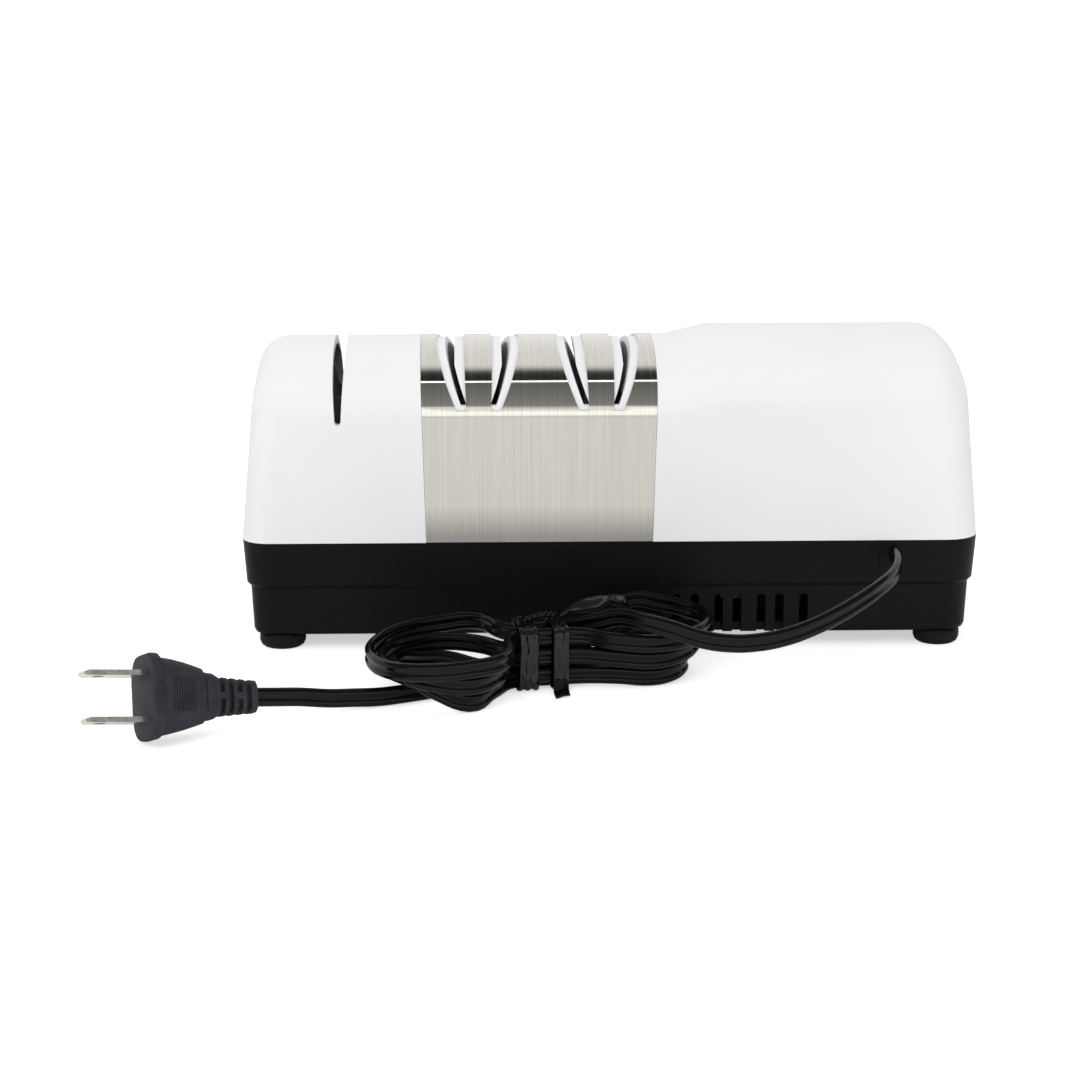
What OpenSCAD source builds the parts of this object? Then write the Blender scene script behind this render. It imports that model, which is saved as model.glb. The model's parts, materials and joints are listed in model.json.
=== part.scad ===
// Electric knife sharpener: two powered stages, one hand stage, flat cord tied in a hank.
// Millimetres. X runs along the housing to the motor end, the cord leaves the rear at -Y,
// the switch is on the front at +Y. The origin is on the table, under the middle of the housing.

/* [Housing] */
// Length of the housing at the seam
body_length = 219.6; // [205:0.2:235]
// Depth of the housing at the seam
body_depth = 86; // [80:0.5:96]
// Height of the seam between the black base and the white cover
seam_z = 33.5; // [30:0.5:36]
// Height of the crown over the knife slots
crown_z = 87; // [85:0.5:90]
// Height of the raised crown over the motor
motor_crown_z = 90.2; // [88:0.2:96]
// Where the ramp between the two crowns starts and ends
ramp_x = [18, 31];
// Lean of the end walls, in degrees
end_draft = 4.8; // [2:0.2:6]
// Lean of the rear wall, in degrees
rear_draft = 3.5; // [1:0.5:5]
// Lean of the front wall, in degrees
front_draft = 7; // [4:0.5:9]
// Radius of the rear shoulder
rear_shoulder_r = 12; // [11:0.5:16]
// Radius of the front shoulder
front_shoulder_r = 15; // [12:0.5:18]
// Radius of the crown on each side of its flat top
crown_r = 66; // [60:1:74]
// Radius of the corners and edges at the low end
low_end_r = 8; // [6:0.5:9]
// Radius of the corners and edges at the motor end
motor_end_r = 10; // [7:0.5:10.5]
// Wall of the cover
cover_wall = 2.6; // [2:0.1:3]

/* [Steel wrap] */
// Middle of the wrap along X
wrap_x = -21.5; // [-24:0.5:-19]
// Width of the wrap at the seam
wrap_w = 67; // [64:0.5:70]
// How far each edge of the wrap leans out, in degrees
wrap_lean = 1.7; // [0:0.1:2.5]
// Thickness of the steel
wrap_t = 0.6; // [0.4:0.1:0.8]
// Gap between the steel and the recess that it lies in
wrap_gap = 0.1; // [0.05:0.05:0.2]

/* [Knife slots] */
// Middle of each powered stage along X
stage_x = [-39.4, -3.2];
// Lean of a powered slot, in degrees
slot_lean = 21; // [18:0.5:23]
// Depth of the powered slots below the crown
slot_depth = 13; // [12:0.5:14]
// Distance from the stage's middle to a slot's outer face, at its bottom
slot_out = 5.2; // [5:0.1:5.5]
// Width of a powered slot at its bottom
slot_w = 1.8; // [1.4:0.1:2.2]
// Depth below the crown at which a slot's inner face turns upright
slot_bend = 3.5; // [2.5:0.5:6]
// White border between a slot and the cut-out of the steel, at the bottom
border_w = 1.9; // [1.2:0.1:2.2]
// Middle of the hand stage along X
hand_x = -80.9; // [-84:0.1:-78]
// Depth of the hand stage's slot below the crown
hand_slot_depth = 17.5; // [17:0.5:19]
// Width of the hand stage's slot, at its bottom and at the crown
hand_slot_w = [1.8, 3.8];

/* [Base] */
// Height of the underside of the base
base_z = 4.5; // [4:0.1:5.5]
// Thickness of the floor of the base
floor_t = 2.5; // [2.2:0.1:2.8]
// Height of the ledge round the base
ledge_z = 20.4; // [19:0.2:22]
// How far the base draws in from the seam to the ledge
base_taper = 1; // [0.5:0.1:1.4]
// How far the ledge steps in
ledge_step = 1.2; // [0.8:0.1:1.4]
// Width of a vent
vent_w = 2.6; // [2:0.1:3]
// Height of the top of the vents
vent_z = 16.7; // [14:0.1:17.5]
// First vent along X
vent_x = 19.4; // [18:0.1:21]
// Steps between vents, which stand in pairs
vent_steps = [5.45, 7.25];
// Number of vents
vent_count = 7; // [3:1:7]
// Radius of a foot
foot_r = 6.9; // [6:0.1:7.5]
// Distance of the feet from the ends and from the front and rear
foot_inset = [11.3, 9.7];
// Radius of a cover screw's shank
screw_r = 1.5; // [1.3:0.1:1.7]
// Distance of the cover screws from the low end and from the motor end
screw_ends = [25.8, 35.3];
// Distance of the cover screws from the front and rear
screw_inset = 9; // [8.5:0.5:10]

/* [Motor and shaft] */
// Height of the shaft
shaft_z = 50; // [49:0.5:51]
// Radius of the shaft
shaft_r = 3; // [2.5:0.1:3.2]
// Running clearance round the shaft
run_gap = 0.05; // [0.03:0.01:0.08]
// Ends of the shaft along X
shaft_x = [-60, 95];
// Distance from the rim of a disc up to the crown
disc_depth = 11.5; // [11:0.1:12.5]
// Outer face of a disc's rim, from the middle of its stage
disc_face = 4.3; // [4.1:0.1:4.6]
// Thickness of a disc's steel
disc_t = 1.2; // [0.8:0.1:1.4]
// How far a disc's cone leans from rim to web
disc_dish = 2.2; // [1.8:0.1:2.6]
// How far a disc can be pressed in against its spring
disc_travel = 2; // [1:0.1:2.2]
// Wire of the disc springs
spring_wire = 1.1; // [0.8:0.1:1.2]
// Turns of a disc spring
spring_turns = 3.5; // [2.5:0.5:4]
// Ends of the stator stack along X
stack_x = [41, 70];
// Radius of the rotor
rotor_r = 14; // [13:0.5:15]
// Air gap round the rotor
air_gap = 0.4; // [0.3:0.1:0.6]
// Radius of the cooling fan
fan_r = 24; // [20:0.5:25]
// Blades of the cooling fan
fan_blades = 9; // [7:1:11]

/* [Hand stage] */
// Radius of a diamond wheel
wheel_r = 9; // [8:0.5:9.5]
// Thickness of a diamond wheel
wheel_t = 1.2; // [1:0.1:1.4]
// Wheels on each axle
wheel_count = 5; // [3:1:6]
// Step between the wheels on an axle
wheel_step = 2.9; // [2.8:0.1:3.4]
// Half the distance between the two axles
axle_half = 7; // [6:0.2:7.4]

/* [Switch] */
// Middle of the rocker switch along X
switch_x = 21.5; // [20:0.5:22]
// Height of the middle of the rocker switch
switch_z = 56; // [50:0.5:57]
// Size of the switch's bezel across and upright
bezel = [11, 16];
// Tilt of the rocker from one stop to the other, in degrees
rocker_swing = 22; // [16:1:26]

/* [Cord] */
// Width of the flat two-core cord
cord_w = 5.4; // [5:0.1:5.8]
// Thickness of the flat two-core cord
cord_t = 2.7; // [2.4:0.1:2.8]
// Distance of the cord's bushing from the motor end
bushing_inset = 26; // [24:0.1:28]
// Width of the cord's bushing
bushing_w = 8.6; // [8:0.1:9.4]
// Height of the underside of the cord's bushing
bushing_z = 25.6; // [25:0.1:26]
// Radius of the outermost left loop of the hank
left_r = 25; // [23:0.5:26]
// Radius of the outermost right loop of the hank
right_r = 19; // [18:0.5:21]
// Step between neighbouring loops of the hank
loop_step = 3.45; // [3.4:0.05:3.6]
// Distance from the waist of the hank to the middle of its left loops
left_half = 26; // [25:0.5:28]
// Distance from the waist of the hank to the middle of its right loops
right_half = 30; // [28:0.5:32]
// Half the length over which the runs lie straight in the waist
waist_flat = 8; // [8:0.5:9]
// Turns of cord in the hank
hank_turns = 3; // [3:1:3]

/* [Hidden] */
$fn = 48;

half_l = body_length / 2;
half_d = body_depth / 2;
far = 200; // longer than the object, for cuts that go right through
floor_z = base_z + floor_t;
slot_z = crown_z - slot_depth;
slot_bend_z = crown_z - slot_bend;
hand_slot_z = crown_z - hand_slot_depth;
disc_r = crown_z - disc_depth - shaft_z;
foot_at = [half_l - foot_inset[0], half_d - foot_inset[1]];
screw_x = [screw_ends[0] - half_l, half_l - screw_ends[1]];
screw_y = half_d - screw_inset;
bushing_x = half_l - bushing_inset;

white = [0.93, 0.93, 0.94];
black = [0.12, 0.12, 0.125];
steel = [0.78, 0.77, 0.73];
dark_steel = [0.5, 0.5, 0.52];
brass = [0.82, 0.68, 0.38];
copper = [0.72, 0.42, 0.25];
grit = [0.55, 0.54, 0.5];

// ---- shared helpers ----

// a profile drawn as (Y, Z), swept along X
module along_x(x0, x1) {
    translate([x0, 0, 0]) rotate([90, 0, 90]) linear_extrude(x1 - x0) children();
}

// a profile drawn as (X, Z), swept along Y
module along_y(y0, y1) {
    translate([0, y1, 0]) rotate([90, 0, 0]) linear_extrude(y1 - y0) children();
}

// a round bar along X
module bar_x(r, x0, x1, y = 0, z = shaft_z) {
    translate([x0, y, z]) rotate([0, 90, 0]) cylinder(r = r, h = x1 - x0);
}

// a round bar along Y
module bar_y(r, y0, y1, x = 0, z = 0) {
    translate([x, y1, z]) rotate([90, 0, 0]) cylinder(r = r, h = y1 - y0);
}

function arc(c, r, a0, a1, n) =
    [for (i = [0:n]) let(a = a0 + (a1 - a0) * i / n) [c[0] + r * cos(a), c[1] + r * sin(a)]];

function smooth(s) = let(c = min(1, max(0, s))) c * c * (3 - 2 * c);

function mix(a, b, s) = a + (b - a) * s;

// closed skin over a list of rings with as many points each
module loft(rings) {
    n = len(rings[0]);
    m = len(rings);
    polyhedron(points = [for (ring = rings) each ring],
        faces = concat(
            [for (k = [0:m - 2], i = [0:n - 1]) let(a = k * n + i, b = k * n + (i + 1) % n) [a, b, a + n]],
            [for (k = [0:m - 2], i = [0:n - 1]) let(a = k * n + i, b = k * n + (i + 1) % n) [b, b + n, a + n]],
            [[for (i = [n - 1:-1:0]) i]],
            [[for (i = [0:n - 1]) (m - 1) * n + i]]));
}

// ---- outline of the housing ----

// Each shoulder arc runs from its wall to this angle from the level, where the crown takes over.
crown_a = 25;

// [Y, Z, radius] of a shoulder; side is -1 at the rear, 1 at the front
function shoulder(side, inset, top) = let(
    draft = side < 0 ? rear_draft : front_draft,
    r = (side < 0 ? rear_shoulder_r : front_shoulder_r) - inset,
    z = top - inset - (crown_r - inset) * (1 - cos(crown_a)) - r * cos(crown_a),
    y = half_d - (z - seam_z) * tan(draft) - (inset + r) / cos(draft)) [side * y, z, r];

// Y where a crown arc meets the flat top
function crown_y(side, inset, top) = let(s = shoulder(side, inset, top))
    s[0] + side * (s[2] * sin(crown_a) - (crown_r - inset) * sin(crown_a));

function foot_y(side, inset, z) = let(draft = side < 0 ? rear_draft : front_draft)
    side * (half_d - (z - seam_z) * tan(draft) - inset / cos(draft));

// points of the cross-section, from the rear foot over the crown to the front foot
function side_points(inset, top, z0) = let(
    rear = shoulder(-1, inset, top), front = shoulder(1, inset, top), rc = crown_r - inset,
    rear_c = [crown_y(-1, inset, top), top - crown_r], front_c = [crown_y(1, inset, top), top - crown_r])
    concat([[foot_y(-1, inset, z0), z0]],
        arc(rear, rear[2], 180 - rear_draft, 90 + crown_a, 8),
        [for (p = arc(rear_c, rc, 90 + crown_a * 0.75, 90, 3)) p],
        [for (p = arc(front_c, rc, 90, 90 - crown_a * 0.75, 3)) p],
        arc(front, front[2], 90 - crown_a, front_draft, 8),
        [[foot_y(1, inset, z0), z0]]);

// half length of the housing at a height
function end_reach(z) = half_l - (z - seam_z) * tan(end_draft);

// one ring of the housing near an end; a is 0 where the corner starts and 90 at the end wall
function end_ring(side, inset, a, z0) = let(
    r = (side < 0 ? low_end_r : motor_end_r) - inset, top = side < 0 ? crown_z : motor_crown_z)
    [for (p = side_points(inset + r * (1 - cos(a)), top, z0))
        [side * (end_reach(p[1]) - inset / cos(end_draft) - r * (1 - sin(a))), p[0], p[1]]];

function mid_ring(x, inset, top, z0) = [for (p = side_points(inset, top, z0)) [x, p[0], p[1]]];

// the whole housing above z0, drawn in by inset
module housing(inset, z0) {
    loft(concat(
        [for (a = [90:-15:0]) end_ring(-1, inset, a, z0)],
        [mid_ring(ramp_x[0], inset, crown_z, z0), mid_ring(ramp_x[1], inset, motor_crown_z, z0)],
        [for (a = [0:15:90]) end_ring(1, inset, a, z0)]));
}

// the skin between two insets of the cross-section over the slots, from z0 up
module side_skin(inset, t, z0) {
    inner = side_points(inset + t, crown_z, z0);
    polygon(concat(side_points(inset, crown_z, z0), [for (i = [len(inner) - 1:-1:0]) inner[i]]));
}

// ---- knife slots ----

slot_top = crown_z + 8; // above the crown, so that the cuts open upwards
slot_in = slot_out - slot_w;

// a powered slot as (X, Z), right of its stage's middle
module slot_profile() {
    t = tan(slot_lean);
    bend = slot_in + (slot_bend_z - slot_z) * t;
    polygon([[slot_in, slot_z], [slot_out, slot_z], [slot_out + (slot_top - slot_z) * t, slot_top],
        [bend, slot_top], [bend, slot_bend_z]]);
}

// the larger cut-out of the steel round a slot
module cutout_profile() {
    low = slot_z - 1.4;
    high = crown_z + 2;
    t = tan(slot_lean + 2);
    polygon([[slot_in + 0.2, low], [slot_out + border_w - 0.6, low],
        [slot_out + border_w - 0.6 + (high - low) * t, high], [slot_in + 0.9, high]]);
}

module both_sides(x) {
    translate([x, 0, 0]) children();
    translate([x, 0, 0]) mirror([1, 0, 0]) children();
}

module slots() {
    for (x = stage_x) both_sides(x) along_y(-far, far) slot_profile();
}

module hand_slot() {
    b = hand_slot_w[0] / 2;
    t = b + (hand_slot_w[1] - hand_slot_w[0]) / 2 * (slot_top - hand_slot_z) / (crown_z - hand_slot_z);
    along_y(-far, far) {
        polygon([[hand_x - b, hand_slot_z], [hand_x + b, hand_slot_z],
            [hand_x + t, slot_top], [hand_x - t, slot_top]]);
        translate([hand_x, hand_slot_z]) circle(b);
    }
}

// the strip of the housing that the steel wraps, as (X, Z)
module wrap_profile(grow) {
    h = crown_z + 2 - seam_z;
    w = wrap_w / 2 + grow;
    polygon([[wrap_x - w, seam_z], [wrap_x + w, seam_z],
        [wrap_x + w + h * tan(wrap_lean), seam_z + h], [wrap_x - w - h * tan(wrap_lean), seam_z + h]]);
}

// ---- cover ----

post_z = 30; // where the cover's screw posts meet the base's

module top_cover() {
    color(white) difference() {
        union() {
            difference() {
                housing(0, seam_z);
                housing(cover_wall, seam_z - 0.5);
            }
            for (x = screw_x, side = [-1, 1]) {
                translate([x, side * screw_y, post_z]) cylinder(r = 3.6, h = 20);
                translate([x - 1, side > 0 ? screw_y : cover_wall - half_d, seam_z + 1.5])
                    cube([2, screw_inset - cover_wall, 15]);
            }
        }
        for (x = screw_x, side = [-1, 1])
            translate([x, side * screw_y, post_z - 1]) cylinder(r = screw_r + run_gap, h = 17);
        // recess for the steel
        difference() {
            along_y(-far, far) wrap_profile(wrap_gap);
            housing(wrap_t + wrap_gap, seam_z - 1);
        }
        slots();
        hand_slot();
        switch_place() cube([bezel[0] - 1.6, 20, bezel[1] - 1.6], center = true);
    }
}

module steel_wrap() {
    color(steel) difference() {
        intersection() {
            along_y(-far, far) wrap_profile(0);
            along_x(wrap_x - far / 2, wrap_x + far / 2) side_skin(0, wrap_t, seam_z + 0.5);
        }
        for (x = stage_x) both_sides(x) along_y(-far, far) cutout_profile();
    }
}

guide_z = disc_top() + 0.8;
function disc_top() = shaft_z + disc_r;

// the plastic guides under the cover, in three strips for each powered stage
module blade_guides() {
    color(white) difference() {
        for (x = stage_x) along_x(x - 13, x + 13) intersection() {
            polygon(side_points(cover_wall + 0.1, crown_z, guide_z));
            translate([-30, guide_z]) square([60, crown_z]);
        }
        slots();
        for (x = stage_x) both_sides(x) magnet_place(0.1);
    }
}

magnet_x = slot_out + (guide_z - slot_z) * tan(slot_lean) + 2.6;

module magnet_place(gap) {
    translate([magnet_x - gap, -12 - gap, guide_z - 1]) cube([2.6 + 2 * gap, 24 + 2 * gap, 5.6 + gap]);
}

module guide_magnets() {
    color(dark_steel) for (x = stage_x) both_sides(x)
        intersection() {
            magnet_place(0);
            translate([-far, -far, guide_z]) cube([2 * far, 2 * far, far]);
        }
}

// ---- base ----

// plan outline of the housing at the seam, as points, drawn in by inset
function plan_points(inset) = let(l = low_end_r, m = motor_end_r, n = 6) concat(
    arc([half_l - m, half_d - m], m - inset, 0, 90, n),
    arc([-half_l + l, half_d - l], l - inset, 90, 180, n),
    arc([-half_l + l, -half_d + l], l - inset, 180, 270, n),
    arc([half_l - m, -half_d + m], m - inset, 270, 360, n));

function plan_ring(z, inset) = [for (p = plan_points(inset)) [p[0], p[1], z]];

base_low = base_taper + ledge_step;

module base_shell() {
    loft([plan_ring(seam_z, 0), plan_ring(ledge_z, base_taper), plan_ring(ledge_z - 1.2, base_low),
        plan_ring(base_z + 1.6, base_low + 0.7), plan_ring(base_z + 0.5, base_low + 1.2),
        plan_ring(base_z, base_low + 2.2)]);
}

// straight-walled block with the same plan outline
module plan_slab(inset, z0, z1) {
    translate([0, 0, z0]) linear_extrude(z1 - z0) polygon(plan_points(inset));
}

lip_gap = 0.7; // between the cover's wall and the base's upstand
lip_t = 1.2;
lip_top = seam_z + 2.5;
inner_z = ledge_z + 0.6; // where the base's wall steps inside
low_wall = base_low + 3.2;

function vent_at(i) = vent_x + floor(i / 2) * (vent_steps[0] + vent_steps[1]) + (i % 2) * vent_steps[0];

module vents() {
    for (i = [0:vent_count - 1]) {
        translate([vent_at(i) - vent_w / 2, -half_d - 1, base_z - 1])
            cube([vent_w, low_wall + 1.5, vent_z - vent_w / 2 - base_z + 1]);
        bar_y(vent_w / 2, -half_d - 1, -half_d + low_wall + 0.5, vent_at(i), vent_z - vent_w / 2);
    }
}

door_x = [wrap_x - 22, wrap_x + 18];
door_y = 13.6;
door_travel = 36;
rail = 1.4;

module door_channel() {
    // the wide track, the narrow mouth between its rails, and the hole over it
    translate([door_x[0] - 0.3, -door_y - 0.3, base_z + 0.7])
        cube([door_x[1] - door_x[0] + door_travel + 0.6, 2 * door_y + 0.6, 1.1]);
    translate([door_x[0] - 0.3, -door_y + rail - 0.2, base_z - 1])
        cube([door_x[1] - door_x[0] + door_travel + 0.6, 2 * (door_y - rail) + 0.4, 2]);
    translate([door_x[0] + 3, -door_y + 3, base_z]) cube([door_x[1] - door_x[0] - 6, 2 * door_y - 6, floor_t + 1]);
}

bracket_x = [30, 80];
rail_y = 21;
stack_z = 14;

module base_tray() {
    color(black) difference() {
        union() {
            difference() {
                base_shell();
                plan_slab(low_wall, floor_z, inner_z);
                plan_slab(cover_wall, inner_z, seam_z + 1);
            }
            difference() {
                plan_slab(cover_wall + lip_gap, inner_z - 1, lip_top);
                plan_slab(cover_wall + lip_gap + lip_t, inner_z - 2, lip_top + 1);
            }
            for (x = screw_x, side = [-1, 1]) translate([x, side * screw_y, floor_z - 1])
                cylinder(r = 4.6, h = post_z - floor_z + 1);
            // rails that the motor stands on
            for (side = [-1, 1]) translate([stack_x[0] + 1, side * rail_y - 3, floor_z - 1])
                cube([stack_x[1] - stack_x[0] - 2, 6, stack_z - floor_z + 1]);
        }
        for (x = screw_x, side = [-1, 1]) translate([x, side * screw_y, base_z - 1]) {
            cylinder(r = 3.4, h = post_z - 3 - base_z + 1);
            cylinder(r = screw_r + 0.3, h = 40);
        }
        // the cover's posts pass the lip
        for (x = screw_x, side = [-1, 1]) translate([x, side * screw_y, post_z])
            cylinder(r = 4.2, h = 10);
        for (x = screw_x, side = [-1, 1])
            translate([x - 1.4, side > 0 ? screw_y : -half_d + 3, seam_z + 1.2]) cube([2.8, 6, 5]);
        for (sx = [-1, 1], sy = [-1, 1]) translate([sx * foot_at[0], sy * foot_at[1], base_z - 1])
            cylinder(r = 3, h = floor_t + 3);
        vents();
        door_channel();
        // notch for the cord's bushing, wider behind the wall
        translate([bushing_x - bushing_w / 2, -half_d - 1, bushing_z]) cube([bushing_w, 8, far]);
        translate([bushing_x - bushing_w / 2 - 2, -half_d + cover_wall, bushing_z - 1.5])
            cube([bushing_w + 4, 3, far]);
    }
}

module foot(sx, sy) {
    color([0.16, 0.16, 0.165]) translate([sx * foot_at[0], sy * foot_at[1], 0]) {
        rotate_extrude() polygon([[0, 0], [foot_r - 1.4, 0], [foot_r - 0.5, 0.6], [foot_r, 1.8],
            [foot_r, base_z - 0.8], [foot_r - 0.6, base_z], [0, base_z]]);
        translate([0, 0, base_z - 0.2]) cylinder(r = 2.9, h = floor_t + 0.2);
        translate([0, 0, base_z + floor_t]) cylinder(r1 = 2.9, r2 = 2.2, h = 1.5);
    }
}

module foot_rear_left() { foot(-1, -1); }
module foot_rear_right() { foot(1, -1); }
module foot_front_left() { foot(-1, 1); }
module foot_front_right() { foot(1, 1); }

module cover_screws() {
    color(dark_steel) for (x = screw_x, side = [-1, 1]) translate([x, side * screw_y, 0])
        difference() {
            union() {
                translate([0, 0, post_z - 5.4]) cylinder(r = 3, h = 2.4);
                translate([0, 0, post_z - 3.5]) cylinder(r = screw_r, h = 18);
            }
            for (a = [0, 90]) rotate([0, 0, a]) translate([-2, -0.4, post_z - 6]) cube([4, 0.8, 1.8]);
        }
}

module cleanout_door() {
    color(black) difference() {
        union() {
            translate([door_x[0], -door_y, base_z + 0.85]) cube([door_x[1] - door_x[0], 2 * door_y, 0.8]);
            translate([door_x[0], -door_y + rail, base_z + 0.1])
                cube([door_x[1] - door_x[0], 2 * (door_y - rail), 0.8]);
        }
        // thumb grooves
        for (i = [0:4]) translate([door_x[1] - 12 + 2 * i, -8, base_z]) cube([0.9, 16, 0.5]);
    }
}

module swarf_magnet() {
    color(dark_steel) translate([door_x[1] + 2, -9, floor_z]) cube([7, 18, 3]);
}

// ---- powered stages ----

module drive_shaft() {
    color(dark_steel) difference() {
        bar_x(shaft_r, shaft_x[0], shaft_x[1]);
        // cross holes for the stop pins
        for (x = pin_places) translate([x, 0, shaft_z]) cylinder(r = pin_r, h = 20, center = true);
    }
}

pin_r = 0.9;
hub_out = disc_face + disc_dish + 2.6;
pin_places = [for (x = stage_x, side = [-1, 1]) x + side * (hub_out + pin_r + 0.1)];

module stop_pins() {
    color(steel) for (x = pin_places) translate([x, 0, shaft_z]) cylinder(r = pin_r - 0.02, h = 12, center = true);
}

// a dished disc on its hub, right of its stage's middle, turned about X
module disc() {
    web_r = 12;
    hub_r = 5;
    f = disc_face;
    w = disc_face + disc_dish;
    translate([0, 0, shaft_z]) rotate([0, 90, 0]) rotate_extrude()
        polygon([[shaft_r + run_gap, w - 2.4], [hub_r, w - 2.4], [hub_r, w - disc_t], [web_r, w - disc_t],
            [disc_r - 0.4, f - disc_t], [disc_r, f - disc_t + 0.4], [disc_r, f - 0.3], [disc_r - 0.5, f],
            [web_r + 0.3, w], [hub_r + 0.6, w], [hub_r, w + 0.6], [hub_r, hub_out], [shaft_r + run_gap, hub_out]]);
}

module coarse_disc_left() { color(grit) translate([stage_x[0], 0, 0]) mirror([1, 0, 0]) disc(); }
module coarse_disc_right() { color(grit) translate([stage_x[0], 0, 0]) disc(); }
module fine_disc_left() { color(grit) translate([stage_x[1], 0, 0]) mirror([1, 0, 0]) disc(); }
module fine_disc_right() { color(grit) translate([stage_x[1], 0, 0]) disc(); }

// tube swept along points; the section's first axis lies level and its second stands up
function unit(v) = v / norm(v);
function heading(path, i) = unit(path[min(i + 1, len(path) - 1)] - path[max(i - 1, 0)]);
function section_ring(p, t, w, h, n) = let(up = unit([0, 0, 1] - t * t[2]), across = cross(t, up))
    [for (k = [0:n - 1]) let(a = 360 * (k + 0.5) / n) p + across * w / 2 * cos(a) + up * h / 2 * sin(a)];

spring_r = 6.6;
spring_half = disc_face + disc_dish - disc_t - 0.15;

function spring_rings() = let(n = round(spring_turns * 8), run = spring_half - spring_wire / 2)
    [for (k = [0:n]) let(a = 360 * spring_turns * k / n, t = [cos(a), sin(a)],
        x = -run + 2 * run * k / n)
        [for (i = [0:5]) let(b = 60 * i, q = spring_r + spring_wire / 2 * cos(b))
            [x + spring_wire / 2 * sin(b), q * t[0], shaft_z + q * t[1]]]];

module coarse_spring() { color(steel) translate([stage_x[0], 0, 0]) loft(spring_rings()); }
module fine_spring() { color(steel) translate([stage_x[1], 0, 0]) loft(spring_rings()); }

// the bracket on the base floor that carries the far end of the shaft
outboard_x = shaft_x[0] + 5;
bush_r = 5.5;

module outboard_bracket() {
    color(dark_steel) difference() {
        union() {
            along_x(outboard_x - 1.5, outboard_x + 1.5) {
                polygon([[-16, floor_z], [16, floor_z], [10, shaft_z], [-10, shaft_z]]);
                translate([0, shaft_z]) circle(10);
            }
            translate([outboard_x - 1.5, -16, floor_z]) cube([10, 32, 2]);
        }
        bar_x(bush_r, outboard_x - 5, outboard_x + 5);
    }
}

module outboard_bearing() {
    color(brass) difference() {
        union() {
            bar_x(bush_r - 0.02, outboard_x - 3, outboard_x + 3);
            bar_x(bush_r + 1.2, outboard_x + 1.55, outboard_x + 3);
        }
        bar_x(shaft_r + run_gap, outboard_x - 5, outboard_x + 5);
    }
}

// ---- motor ----

stack_y = 27;
stack_top = shaft_z + rotor_r + 7.5;
window = [15.5, 22.4, 32.6]; // half width, bottom and top of the coil's window

module stator_stack() {
    color(dark_steel) difference() {
        along_x(stack_x[0], stack_x[1]) difference() {
            polygon([[-stack_y, stack_z], [stack_y, stack_z], [stack_y, stack_top - 8],
                [stack_y - 8, stack_top], [-stack_y + 8, stack_top], [-stack_y, stack_top - 8]]);
            translate([0, shaft_z]) circle(rotor_r + air_gap);
            translate([-window[0], window[1]]) square([2 * window[0], window[2] - window[1]]);
        }
        for (p = bolt_places) bar_x(bolt_r + 0.15, stack_x[0] - 1, stack_x[1] + 1, p[0], p[1]);
        // shading-ring slots beside the rotor
        for (side = [-1, 1]) translate([stack_x[0] - 1, side * (rotor_r + 4) - 0.8, shaft_z + side * 5 - 4])
            cube([stack_x[1] - stack_x[0] + 2, 1.6, 8]);
    }
}

bolt_r = 1.8;
bolt_places = [[-22.5, shaft_z - 8], [22.5, shaft_z - 8]];
coil_x = [stack_x[0] - 6, stack_x[1] + 6];
coil_z = [floor_z + 1.2, window[2] - 1];

module coil_bobbin() {
    color([0.86, 0.84, 0.78]) difference() {
        union() {
            for (side = [-1, 1]) translate([coil_x[0], side * 13.4 - 0.8, coil_z[0]])
                cube([coil_x[1] - coil_x[0], 1.6, coil_z[1] - coil_z[0]]);
            translate([stack_x[0] - 1.4, -13, stack_z - 1.4])
                cube([stack_x[1] - stack_x[0] + 2.8, 26, window[1] - stack_z + 2.8]);
        }
        translate([stack_x[0] - 0.2, -20, stack_z - 0.2])
            cube([stack_x[1] - stack_x[0] + 0.4, 40, window[1] - stack_z + 0.4]);
    }
}

module motor_coil() {
    color(copper) difference() {
        along_y(-12.5, 12.5) translate([(coil_x[0] + coil_x[1]) / 2, (coil_z[0] + coil_z[1]) / 2])
            rounded([coil_x[1] - coil_x[0] - 1, coil_z[1] - coil_z[0] - 1], 3);
        translate([stack_x[0] - 1.5, -20, stack_z - 1.5])
            cube([stack_x[1] - stack_x[0] + 3, 40, window[1] - stack_z + 3]);
    }
}

// rectangle about the origin with true round corners
module rounded(size, r) {
    square([size[0] - 2 * r, size[1]], center = true);
    square([size[0], size[1] - 2 * r], center = true);
    for (sx = [-1, 1], sy = [-1, 1]) translate([sx * (size[0] / 2 - r), sy * (size[1] / 2 - r)]) circle(r);
}

// an end bracket of the motor: arms to the bolts, a boss round the bearing, feet against the stack
module motor_bracket(x, toward) {
    color(steel) difference() {
        union() {
            along_x(x - 1.2, x + 1.2) {
                translate([0, shaft_z]) circle(11);
                polygon([[-bolt_places[1][0], shaft_z - 12.5], [bolt_places[1][0], shaft_z - 12.5],
                    [bolt_places[1][0], shaft_z - 3.5], [0, shaft_z + 5], [-bolt_places[1][0], shaft_z - 3.5]]);
                for (p = bolt_places) translate(p) circle(4.5);
            }
            bar_x(7.5, x - 3.5, x + 3.5);
            for (p = bolt_places) bar_x(4.5, min(x, toward), max(x, toward), p[0], p[1]);
        }
        bar_x(bush_r, x - 9, x + 9);
        for (p = bolt_places) bar_x(bolt_r + 0.15, x - 30, x + 30, p[0], p[1]);
    }
}

module front_bracket() { motor_bracket(bracket_x[0], stack_x[0]); }
module rear_bracket() { motor_bracket(bracket_x[1], stack_x[1]); }

module motor_bearings() {
    color(brass) for (x = bracket_x) difference() {
        bar_x(bush_r - 0.02, x - 3.5, x + 3.5);
        bar_x(shaft_r + run_gap, x - 5, x + 5);
    }
}

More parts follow.
